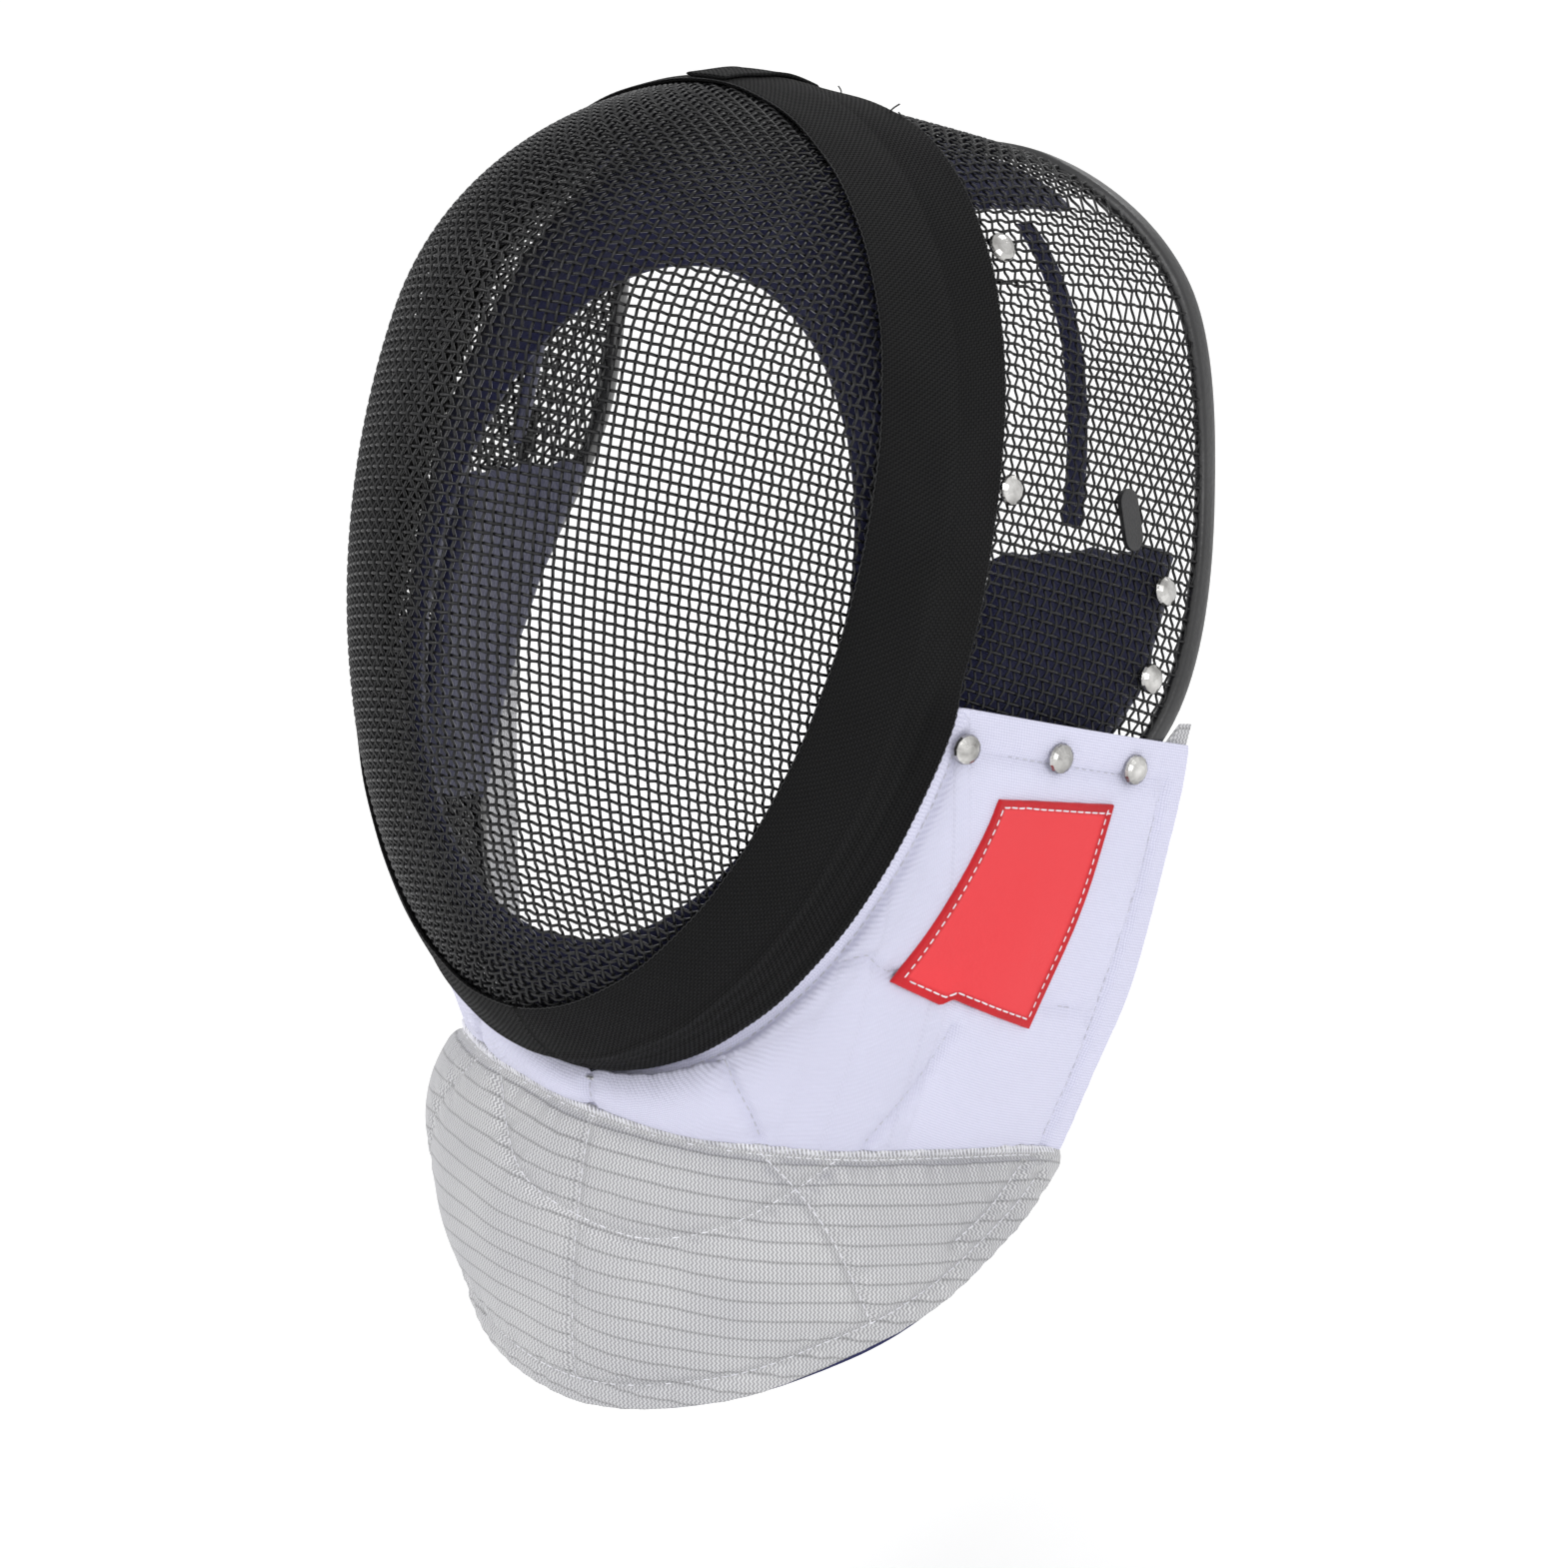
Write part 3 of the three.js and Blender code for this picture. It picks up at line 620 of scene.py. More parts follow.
def two_faced(outer, inner, around=False):
    """Points and quads of a sheet whose outer and inner faces meet at their edges. Both faces are
    grids of points; around joins their last line to the first."""
    n, m = outer.shape[:2]
    points = np.concatenate([outer.reshape(-1, 3), inner.reshape(-1, 3)])
    after = (np.arange(n) + 1) % n
    here = np.arange(n if around else n - 1)
    faces = [grid_quads((here, after), m, 0, False), grid_quads((here, after), m, n * m, True)]
    for edge, flip in ((0, False), (m - 1, True)):
        a, b = here * m + edge, after[here] * m + edge
        quad = np.stack([a, a + n * m, b + n * m, b], axis=-1)
        faces.append(quad[:, ::-1] if flip else quad)
    if not around:
        for edge, flip in ((0, True), (n - 1, False)):
            a = edge * m + np.arange(m - 1)
            quad = np.stack([a, a + n * m, a + 1 + n * m, a + 1], axis=-1)
            faces.append(quad[:, ::-1] if flip else quad)
    return points, np.concatenate(faces)


def pad_grids(row):
    """A pad's two faces, a little thinner than it will be once it has swollen."""
    angles = np.radians(np.linspace(row["from"], row["to"], row["columns"]))
    alongs = np.linspace(row["start"], row["end"], row["rows"])
    angle, along = np.meshgrid(angles, alongs, indexing="ij")
    shape = angle.shape
    wide, long = (
        rounded((grid - marks[0]) * 100, (marks[-1] - marks[0]) * 100, PAD_ENDS[side])
        for side, grid, marks in (("wide", angle, angles), ("long", along, alongs)))
    half = (row["thick"] / 2 * np.minimum(wide, long)).ravel()
    middle = -MESH_WALL / 2 - PAD_INSET + PAD_ROOM - row["thick"] / 2
    return [side_offset(angle.ravel(), along.ravel(), middle + half * side).reshape(*shape, 3)
            for side in (1, -1)]


def swell(piece, limit):
    """Blows a sewn pad up with a short cloth simulation that holds every point near its place."""
    scene = bpy.context.scene
    remesh = piece.modifiers.new("cut", "REMESH")
    remesh.mode, remesh.voxel_size = "VOXEL", PAD_VOXEL * MM
    view = bpy.context.evaluated_depsgraph_get()
    piece.data = bpy.data.meshes.new_from_object(piece.evaluated_get(view))
    piece.modifiers.remove(remesh)
    cloth = piece.modifiers.new("cloth", "CLOTH")
    cloth.settings.use_pressure = True
    cloth.settings.uniform_pressure_force = SWELL_PRESSURE
    cloth.settings.effector_weights.gravity = 0
    cloth.point_cache.frame_start, cloth.point_cache.frame_end = 1, SWELL_FRAMES
    for step in range(1, SWELL_FRAMES + 1):
        scene.frame_set(step)
    grown = piece.evaluated_get(bpy.context.evaluated_depsgraph_get()).to_mesh()
    for point, goal in zip(piece.data.vertices, grown.vertices):
        move = goal.co - point.co
        if move.length > limit * MM:
            move.length = limit * MM
        point.co = point.co + move
    piece.modifiers.remove(cloth)
    scene.frame_set(1)
    shape = bmesh.new()
    shape.from_mesh(piece.data)
    for _ in range(SMOOTHING):
        bmesh.ops.smooth_vert(shape, verts=shape.verts, factor=0.5, use_axis_x=True,
                              use_axis_y=True, use_axis_z=True)
    shape.to_mesh(piece.data)
    shape.free()


def off_channel(angle):
    """An angle's distance from the nearest of the channels sewn through the pads."""
    return angle - np.round(angle / PAD_CHANNEL) * PAD_CHANNEL


def sew_channels(piece, depth):
    """Draws a pad's faces together along channels that run back from the face opening."""
    for point in piece.data.vertices:
        place = np.array(point.co) / MM + HEAD_SEAT
        lateral, up, _ = to_rim_plane(place)
        angle = math.atan2(lateral / RIM_HALF_WIDTH, up / RIM_HALF_HEIGHT)
        off = off_channel(angle) * PAD_RADIUS
        out = Vector(outward(place))
        pinch = depth * math.exp(-((off / CHANNEL_WIDTH) ** 2)) * out.dot(point.normal)
        point.co = point.co - out * (pinch * MM)


def plain_weave_group():
    """Threads over and under each other, from a flat map in millimetres."""
    group, given, made = new_group(
        "plain_weave",
        [("Flat", "NodeSocketVector", None), ("Along", "NodeSocketFloat", 1.0),
         ("Across", "NodeSocketFloat", 1.0)],
        [("Height", "NodeSocketFloat"), ("Warp", "NodeSocketFloat")],
    )
    parts = group.nodes.new("ShaderNodeSeparateXYZ")
    group.links.new(given.outputs["Flat"], parts.inputs[0])
    waves = []
    for axis, pitch in (("X", "Along"), ("Y", "Across")):
        turn = calc(group, "DIVIDE", parts.outputs[axis], given.outputs[pitch])
        waves.append(calc(group, "SINE", calc(group, "MULTIPLY", turn, math.pi)))
    warp, weft = (calc(group, "ABSOLUTE", wave) for wave in waves)
    checker = calc(group, "GREATER_THAN", calc(group, "MULTIPLY", *waves), 0.0)
    other = calc(group, "SUBTRACT", 1.0, checker)
    height = calc(group, "ADD", calc(group, "MULTIPLY", warp, checker),
                  calc(group, "MULTIPLY", weft, other))
    group.links.new(height, made.inputs["Height"])
    group.links.new(checker, made.inputs["Warp"])
    return group


plain_weave = plain_weave_group()


def tinted(tree, colour, tint):
    """A colour multiplied by another."""
    node = tree.nodes.new("ShaderNodeMix")
    node.data_type, node.blend_type = "RGBA", "MULTIPLY"
    node.inputs["Factor"].default_value = 1
    tree.links.new(colour, node.inputs["A"])
    tree.links.new(tint, node.inputs["B"])
    return node.outputs["Result"]


def flat_place(tree):
    """The place on a piece's flat map, in millimetres."""
    flat = tree.nodes.new("ShaderNodeUVMap")
    flat.uv_map = "flat_mm"
    return flat.outputs["UV"]


def woven_cloth(name, dark, light, along, across, depth, wear, **sockets):
    """A woven cloth: a colour in the gaps, darkened there as painted shade between the threads, a
    colour on the crowns, and the thread pitches and depth in millimetres. The threads follow the
    piece's flat map."""
    finish, tree, shader = new_finish(name, **sockets)
    weave = place_group(tree, plain_weave, Flat=flat_place(tree), Along=along, Across=across)
    uneven = place_group(tree, mottle, Patch=30.0, Contrast=1.6)
    # Painted shade: the colour goes from the darker one in the weave's gaps to the lighter one on
    # its crowns.
    thread = blended(tree, weave.outputs["Height"], dark, light)
    tint = blended(tree, uneven.outputs["Mask"], (1 - wear,) * 3, (1.0,) * 3)
    tree.links.new(tinted(tree, thread, tint), shader.inputs["Base Color"])
    tree.links.new(between(tree, weave.outputs["Height"], 0.95, 0.7), shader.inputs["Roughness"])
    relief(tree, shader, weave.outputs["Height"], depth)
    return finish


liner_cloth = mottled_finish(
    "navy_liner_cloth", patch=24.0, contrast=1.8, roughness=(0.75, 0.95), depth=0.25,
    tones=((0.009, 0.010, 0.040), (0.017, 0.019, 0.072)), Sheen_Weight=0.3, Sheen_Roughness=0.5,
    Specular_IOR_Level=0.3)


def collar_section(angle, share):
    """The collar from its outer edge, inside the dome, to the hole left for the face."""
    lateral, up, forward = to_rim_plane(rim_point(angle))
    outer = from_rim_plane(
        lateral * COLLAR_WIDTH_SHARE, up * COLLAR_HEIGHT_SHARE, forward - COLLAR_BEHIND_RIM)
    inner = from_rim_plane(
        FACE_HOLE["half_width"] * np.sin(angle),
        FACE_HOLE["centre"] + FACE_HOLE["half_height"] * np.cos(angle),
        FACE_HOLE["forward"],
    )
    phase = share * 2 * math.pi
    along = (0.5 - 0.5 * np.sign(np.cos(phase)) * np.abs(np.cos(phase)) ** 0.7)[..., None]
    channel = np.exp(-((off_channel(angle) * COLLAR_RADIUS / 3) ** 2))
    half = LINER_THICK / 2 * (1 - 0.3 * channel)
    return outer + (inner - outer) * along + from_rim_plane(0, 0, half * np.sin(phase))


collar_shape = closed_ring(collar_section, COLLAR_STEPS, COLLAR_SIDES)
collar = new_piece("face_collar", *collar_shape, liner_cloth)
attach(collar, "root")
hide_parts("face_liner")

for row in PADS:
    pad = new_piece(row["name"], *two_faced(*pad_grids(row)), liner_cloth)
    if row["thick"] > THIN_PAD:
        swell(pad, SWELL_LIMIT)
        sew_channels(pad, CHANNEL_DEPTH)
        smooth = pad.modifiers.new("smooth", "SUBSURF")
        smooth.levels = smooth.render_levels = 1
    for face in pad.data.polygons:
        face.use_smooth = True
    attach(pad, "root")
    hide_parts(row["node"])

# ---- Elastic tape -------------------------------------------------------------------------------
# Black knitted elastic, glued over the joint of the two meshes, with looped edges. Its ends
# overlap on top of the head. Under the jaw its rear half puckers and lies over the bib's edge.
TAPE_FRONT = 30.5
TAPE_REAR = 20.0
TAPE_THICK = 1.3
TAPE_CLEAR = 1.15
TAPE_STEPS = 340
TAPE_ROWS = 34
TAPE_EDGE = 0.9
TAPE_HUMP = 0.45
HUMP_WIDTH = 9.0
TAPE_RIPPLES = (-2.0, 4.5, 9.0, 13.5, 18.0)
RIPPLE_RISE = 0.75
RIPPLE_WIDTH = 1.5
TAPE_WANDER = 0.18
CHIN_FROM, CHIN_OVER = 1.5, 0.9
CORNER_ANGLE = math.radians(101.1)
TAPE_OVER_BIB = 2.0
OVERLAP_HALF = 0.072
OVERLAP_LIFT = 1.35
OVERLAP_CURL = 0.4
EDGE_THREAD = 0.26
EDGE_THREAD_FINER = 3
FRAY_FOOT = 2.4
FRAY_RISE = 0.6
FRAY_STEPS = 9
EDGE_THREAD_LIFT = 0.35
EDGE_THREAD_WAVE = 0.25
FRAYS = [
    {"angle": 10, "behind": 15, "lean": -0.4, "length": 3},
    {"angle": 19, "behind": 17, "lean": 0.6, "length": 3.5},
    {"angle": 21, "behind": 18, "lean": -0.5, "length": 2.5},
]


def reach_ahead(angle, distance):
    """The dome's point a distance ahead of the rim, for each angle, measured along the surface."""
    radius = np.sin(np.linspace(1, 0.3, 240) * math.pi / 2)[:, None]
    rim_across, rim_up, _ = to_rim_plane(rim_point(angle))
    across = rim_across * radius
    up = FACE_APEX + (rim_up - FACE_APEX) * radius
    line = from_rim_plane(across, up, face_ahead(across, up))
    travel = travelled(line, 0)
    found = np.empty((len(angle), 3))
    for index, far in enumerate(distance):
        for axis in range(3):
            found[index, axis] = np.interp(far, travel[:, index], line[:, index, axis])
    return found


def tape_base(turns, rows):
    """The joint's surface under the tape and its outward direction."""
    angle, behind = (grid.ravel() for grid in np.meshgrid(turns, rows, indexing="ij"))
    front = reach_ahead(angle, np.maximum(-behind, 0))
    rear = side_point(angle, np.maximum(behind, 0) / side_length(angle))
    base = np.where((behind < 0)[:, None], front, rear).reshape(len(turns), len(rows), 3)
    normal = unit(np.cross(np.gradient(base, axis=0), np.gradient(base, axis=1)))
    normal *= np.sign(np.sum(normal * outward(base), axis=-1))[..., None]
    for _ in range(3):
        normal[:, 1:-1] = unit(normal[:, :-2] + normal[:, 1:-1] + normal[:, 2:])
    return base, normal


def eased(amount):
    amount = np.clip(amount, 0, 1)
    return amount * amount * (3 - 2 * amount)


def tape_lift(turns, rows):
    """How far the tape's middle stands off the joint, with its pucker under the jaw."""
    turns, rows = turns[:, None], rows[None]
    lift = TAPE_CLEAR + TAPE_THICK / 2 + TAPE_HUMP * np.exp(-((rows / HUMP_WIDTH) ** 2))
    ripple = sum(
        np.exp(-(((rows - place + 1.5 * np.sin(turns * 3 + place)) / RIPPLE_WIDTH) ** 2))
        for place in TAPE_RIPPLES)
    chin = eased((np.abs(turns) - CHIN_FROM) / CHIN_OVER)
    over_bib = eased((np.abs(turns) - CORNER_ANGLE + 0.06) / 0.1) * eased((rows - 8) / 12)
    wander = TAPE_WANDER * np.sin(turns * 23) * np.sin(rows / 5 + turns * 4)
    return lift + RIPPLE_RISE * chin * ripple + TAPE_OVER_BIB * over_bib + wander


def flat_map(piece, coordinates):
    """Lays a UV map on a piece from one flat place in millimetres per point."""
    layer = piece.data.uv_layers.new(name="flat_mm")
    corners = np.empty(len(piece.data.loops), np.int32)
    piece.data.loops.foreach_get("vertex_index", corners)
    layer.data.foreach_set("uv", np.asarray(coordinates, np.float32)[corners].ravel())


def elastic_strip(name, turns, lift_more, around):
    """A length of the tape between two rim angles. Also returns its middle and its outward
    direction, as grids."""
    width = TAPE_FRONT + TAPE_REAR
    rows = packed(width, TAPE_ROWS, TAPE_EDGE) - TAPE_FRONT
    base, normal = tape_base(turns, rows)
    if around:
        normal[0] = normal[-1] = unit(normal[1] + normal[-2])
    middle = tape_lift(turns, rows) + lift_more
    half = rounded(rows + TAPE_FRONT, width, TAPE_EDGE)[None] * TAPE_THICK / 2
    if not around:
        travel = travelled(base, 0)
        half = half * rounded(travel, travel[-1:], TAPE_EDGE)
    outer = base + normal * (middle + half)[..., None]
    inner = base + normal * (middle - half)[..., None]
    if around:
        outer, inner = outer[:-1], inner[:-1]
    strip = new_piece(name, *two_faced(outer, inner, around), knitted_elastic)
    travel = travelled(outer, 0)[:, :1] + 0 * rows[None]
    across = rows[None] + 0 * travel
    flat_map(strip, np.tile(np.stack([travel, across], axis=-1).reshape(-1, 2), (2, 1)))
    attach(strip, "root")
    return strip, base + normal * middle[..., None], normal


def at_marks(marks, places, values):
    """Points of a path at some distances along it, from its points at known distances."""
    return np.stack([np.interp(marks, places, values[:, axis]) for axis in range(3)], axis=-1)


# dark is the painted shade in the knit's gaps; light is the elastic on the threads' crowns.
knitted_elastic = woven_cloth(
    "knitted_elastic", dark=(0.0012, 0.0012, 0.0014), light=(0.009, 0.009, 0.0095), along=0.8,
    across=1.05, depth=0.35, wear=0.3, Sheen_Weight=0.02, Sheen_Roughness=0.5,
    Specular_IOR_Level=0.08)

turns = np.linspace(-math.pi, math.pi, TAPE_STEPS + 1)
tape, tape_middle, tape_out = elastic_strip("elastic_band", turns, 0, True)
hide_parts("trim_band")
overlap_turns = packed(2 * OVERLAP_HALF, count=30, edge=0.008) - OVERLAP_HALF
ends_up = OVERLAP_LIFT + OVERLAP_CURL * np.abs(overlap_turns / OVERLAP_HALF)[:, None] ** 6
overlap, _, _ = elastic_strip("elastic_overlap", overlap_turns, ends_up, False)

edge_lines = []
for column in (0, -1):
    line, out = tape_middle[:-1, column], tape_out[:-1, column]
    places = np.arange(len(line))
    fine = np.linspace(0, len(line) - 1, EDGE_THREAD_FINER * len(line))
    edge, edge_out = at_marks(fine, places, line), at_marks(fine, places, out)
    sideways = unit(np.cross(np.gradient(edge, axis=0), edge_out))
    wave = EDGE_THREAD_WAVE * np.sin(np.arange(len(fine)) * 2.1)[:, None]
    edge_lines.append((edge + edge_out * EDGE_THREAD_LIFT + sideways * wave, edge_out))
rise = np.linspace(0, 1, FRAY_STEPS)[:, None]
for fray in FRAYS:
    near_angles = np.radians([fray["angle"] - 1, fray["angle"]])
    near, near_out = tape_base(near_angles, np.array([fray["behind"] - 1.0, fray["behind"]]))
    foot_out = near_out[1, 1]
    foot = near[1, 1] + foot_out * FRAY_FOOT
    bend = np.array([fray["lean"], 0.5 * fray["lean"], 0.15]) * fray["length"] * rise ** 2
    path = foot + foot_out * (fray["length"] * FRAY_RISE * rise) + bend
    edge_lines.append((path, np.tile(np.array([0.0, 1.0, 0.0]), (FRAY_STEPS, 1))))
edge_shape = tube_mesh(edge_lines, EDGE_THREAD, sides=4)
edge_thread = new_piece("tape_edge_threads", *edge_shape, wire_enamel)
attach(edge_thread, "root")

# ---- White cloth of the bib ---------------------------------------------------------------------
# Two layers of white woven cloth with padding between them, quilted by lockstitched seams. It is
# tucked under the tape round the jaw, and riveted to the side mesh by a folded edge.
BIB_WALL = 2.5
OVER_MESH = 1.0
EDGE_DROP = math.radians(2.5)
FRONT_SHARE = 0.62
BEHIND_TAPE = 4.4
PAST_EDGE = 8.0
SEAM_LINE = {"half_width": 90, "half_depth": 95, "y": -44, "z": -158, "drop": 28, "skew": 8}
HEM_LINE = {"half_width": 100, "half_depth": 103, "y": -56, "z": -249, "rise": 50}
HEM_CORNER = math.radians(98)
RIGHT_TUCK = {"inward": 7, "up": 5, "fuller": 3.5}
WHITE_PUFF = 5.5
LAME_PUFF = 7.0
FULL_HEIGHT = 70.0
TUCKED_IN = 7.0
TOP_RADIUS = 110.0
CLOTH_EDGE = 1.25
CORNER_SPREAD = 0.24
CORNER_DEPTH = 0.45
CORNER_WIDTH = 0.3
CORNER_SAMPLES = 9
TUCK_DIP = 1.3
TUCK_DIP_OVER = 5.0
SEAM_STEP = 0.5
STITCH_PLACES = np.array([0, 0.22, 0.78, 1])
STITCH_DIP = np.array([-1.2, 0, 0, -1.2])[:, None]
STITCH_START = 0.6
GROOVE_WIDTH = 1.7
GROOVE_SLOPE = 6.0
PUCKER_REACH = 7.0
PUCKER_LENGTHS = (6.3, 10.7)
PUCKER_START = 2.5
WHITE_SWELLS = (34.0, 1.7)
JAW_SEAM = 2.2
WHITE_SEAMS = {
    "centre": [(0, 0.02), (0, 0.5), (0, 0.98)],
    "front": [(0.18, 0.13), (0.25, 0.59), (0.34, 0.98)],
    "shoulder": [(0.37, 0.09), (0.43, 0.25), (0.49, 0.40), (0.63, 0.56), (0.79, 0.64),
                 (0.945, 0.67)],
    "diagonal": [(0.645, 0.66), (0.607, 0.80), (0.57, 0.90), (0.54, 0.99)],
    "rear": [(0.965, 0.1), (0.955, 0.41), (0.945, 0.6), (0.955, 0.8), (0.95, 0.99)],
    "rivets": [(0.62, 0.087), (0.76, 0.093), (0.90, 0.096), (0.965, 0.098)],
}


def bib_top(share):
    """The cloth's top edge: behind the tape under the jaw, then back along the side mesh."""
    reach = np.abs(share)
    back = np.clip((reach - FRONT_SHARE) / (1 - FRONT_SHARE), 0, 1)
    front = np.minimum(reach / FRONT_SHARE, 1)
    angle = math.pi - (math.pi - CORNER_ANGLE) * front + EDGE_DROP * back
    behind = (TAPE_REAR + BEHIND_TAPE) / side_length(angle)
    last = 1 + PAST_EDGE / side_length(np.full_like(angle, CORNER_ANGLE + EDGE_DROP))
    along = behind + (last - behind) * back
    lift = MESH_WALL / 2 + OVER_MESH + BIB_WALL / 2 + (EDGING_THICK - MESH_WALL) * 0.5 * back**2
    return angle * np.where(share < 0, -1, 1), along, lift


def seam_line(share):
    """The seam between the white cloth and the skirt: half an ellipse seen from above, low at the
    sides and a little askew."""
    line, reach = SEAM_LINE, np.abs(share)
    blend = reach**4
    half_width = line["half_width"] + (HEM_LINE["half_width"] - line["half_width"]) * blend
    half_depth = line["half_depth"] + (HEM_LINE["half_depth"] - line["half_depth"]) * blend
    rear = HEM_LINE["y"] + HEM_LINE["half_depth"]
    centre = line["y"] + line["half_depth"] + (rear - line["y"] - line["half_depth"]) * blend
    angle = share * HEM_CORNER
    low = line["z"] - line["drop"] * reach**3 - line["skew"] * np.sin(math.pi * share)
    return np.stack([half_width * np.sin(angle), centre - half_depth * np.cos(angle), low], axis=-1)


def right_tuck(share):
    """How much of the tuck there is on the wearer's right side, from 0 to 1."""
    return np.where(share < 0, np.sin(-share * math.pi), 0)


def hem_line(share):
    """The skirt's hem: half an ellipse seen from above, rising to the rear."""
    angle, tuck = share * HEM_CORNER, right_tuck(share)
    turned = 1 - np.cos(angle)
    inward = RIGHT_TUCK["inward"] * tuck
    return np.stack([
        (HEM_LINE["half_width"] - inward) * np.sin(angle),
        HEM_LINE["y"] + HEM_LINE["half_depth"] * turned + inward * np.cos(angle),
        HEM_LINE["z"] + HEM_LINE["rise"] * turned + RIGHT_TUCK["up"] * tuck,
    ], axis=-1)


def puffed(top, foot, down, most):
    """A sheet hung between two lines, which stands out most halfway down."""
    point = top + (foot - top) * down[..., None]
    out = unit((point - np.array([0, 25, 0])) * np.array([1, 1, 0]))
    return point + out * (most * 4 * down * (1 - down))[..., None]


def white_sheet(share, down):
    """The white cloth's middle. Above down 0 it goes on under the tape, close to the mesh, and
    behind the tape it goes on up. The corner of its top edge softens further down."""
    angle, along, lift = bib_top(share)
    foot = seam_line(share)
    spread = CORNER_SPREAD * eased(down / CORNER_DEPTH) * eased((1 - np.abs(share)) / CORNER_WIDTH)
    about = [share + spread * step for step in np.linspace(-1, 1, CORNER_SAMPLES)]
    top = sum(side_offset(*bib_top(place)) for place in about) / len(about)
    height = np.linalg.norm(foot - top, axis=-1)
    above = np.maximum(-down, 0) * height
    upward = eased((np.abs(share) - FRONT_SHARE - 0.02) / 0.03)
    turned = angle - np.sign(share) * upward * above / TOP_RADIUS
    forward = (1 - upward) * above / side_length(angle)
    tucked = side_offset(turned, along - forward, lift - TUCK_DIP * eased(above / TUCK_DIP_OVER))
    hung = puffed(top, foot, np.maximum(down, 0), WHITE_PUFF)
    return np.where((down < 0)[..., None], tucked, hung)


def sheet_normal(sheet, share, down):
    """A sheet's outward direction."""
    side = sheet(share + 0.004, down) - sheet(share - 0.004, down)
    near = np.maximum(down, 0.012)
    fall = sheet(share, near + 0.008) - sheet(share, near - 0.008)
    return unit(np.cross(fall, side))


def smooth_line(points, step=0.01):
    """A smooth path through a few points of a flat table."""
    points = np.array(points, float)
    ends = np.concatenate([[2 * points[0] - points[1]], points, [2 * points[-1] - points[-2]]])
    shares = np.arange(0, 1, step)[:, None]
    path = [cubic(*four, shares) for four in zip(ends, ends[1:], ends[2:], ends[3:])]
    return np.concatenate([*path, points[-1:]])


def both_sides(table):
    """Smooth seams from a table for the wearer's left side, with their mirror images."""
    lines = []
    for points in table.values():
        line = smooth_line(points)
        lines.append(line)
        if abs(line[:, 0]).max() > 0:
            lines.append(line * np.array([-1, 1]))
    return lines


def billow(points, size, amount):
    """Slow, uneven swells of a cloth surface, in millimetres."""
    swells = [noise.noise(Vector(point) / size) for point in points.reshape(-1, 3)]
    return amount * np.array(swells).reshape(points.shape[:-1])


class Quilting:
    """The seams of a quilted sheet: where they run, how deep they draw the cloth in, and how the
    cloth puckers beside them. Swells are the size and height of the padding's unevenness."""

    def __init__(self, sheet, lines, groove, pucker, swells):
        self.sheet, self.groove, self.pucker, self.swells = sheet, groove, pucker, swells
        self.lines = [even_line(line[:, 0], line[:, 1], sheet) for line in lines]
        count = sum(len(line) for line in self.lines)
        self.tree = kdtree.KDTree(count)
        self.travel = np.concatenate([np.arange(len(line)) * SEAM_STEP for line in self.lines])
        points = np.concatenate([sheet(line[:, 0], line[:, 1]) for line in self.lines])
        for index, point in enumerate(points):
            self.tree.insert(point, index)
        self.tree.balance()

    def relief(self, points):
        """How far the quilted face stands off its plain shape."""
        found = [self.tree.find(point)[1:] for point in points.reshape(-1, 3)]
        index, far = (np.array(column).reshape(points.shape[:-1]) for column in zip(*found))
        along = self.travel[index]
        short, long = (2 * math.pi / length for length in PUCKER_LENGTHS)
        wave = np.sin(along * short) + 0.6 * np.sin(along * long + 1)
        beside = np.exp(-((far / PUCKER_REACH) ** 2)) * np.minimum(far / PUCKER_START, 1)
        drawn = np.exp(-((far / GROOVE_WIDTH) ** 2)) + 0.6 * np.exp(-(far / GROOVE_SLOPE))
        return self.pucker * wave * beside - self.groove * drawn + billow(points, *self.swells)


def even_line(share, down, sheet):
    """The same path in even steps."""
    points = sheet(share, down)
    arc = travelled(points, 0)
    marks = np.arange(0, arc[-1], SEAM_STEP)
    return np.stack([np.interp(marks, arc, share), np.interp(marks, arc, down)], axis=-1)


def stitched(name, quilting, finish, radius, length, gap, lift, half):
    """Lockstitches along a sheet's seams: each thread rises out of the cloth and dips back."""
    threads = []
    for line in quilting.lines:
        share, down = line[:, 0], line[:, 1]
        middle = quilting.sheet(share, down)
        normal = sheet_normal(quilting.sheet, share, down)
        height = half + quilting.relief(middle) + lift
        surface = middle + normal * height[:, None]
        places = np.arange(len(line)) * SEAM_STEP
        for start in np.arange(STITCH_START, places[-1] - length, length + gap):
            marks = start + STITCH_PLACES * length
            path, facing = (at_marks(marks, places, values) for values in (surface, normal))
            threads.append((path + facing * (STITCH_DIP * radius), facing))
    piece = new_piece(name, *tube_mesh(threads, radius, 5), finish)
    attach(piece, "root")
    return piece


def cloth_grid(sheet, columns, rows, above, below):
    """Shares across and down a sheet, packed at its edges. above and below give the millimetres
    that it runs past its top and foot, for each share across."""
    coarse = np.linspace(-1, 1, 801)
    arc = travelled(sheet(coarse, np.full_like(coarse, 0.5)), 0)
    share = np.interp(packed(arc[-1], columns, CLOTH_EDGE), arc, coarse)
    ones = np.ones_like(share)
    height = np.linalg.norm(sheet(share, ones) - sheet(share, 0 * ones), axis=-1)
    top = -above(share)
    run = packed(height + below(share) - top, rows, CLOTH_EDGE)
    down = (run + top[:, None]) / height[:, None]
    return np.repeat(share[:, None], down.shape[1], axis=1), down, run


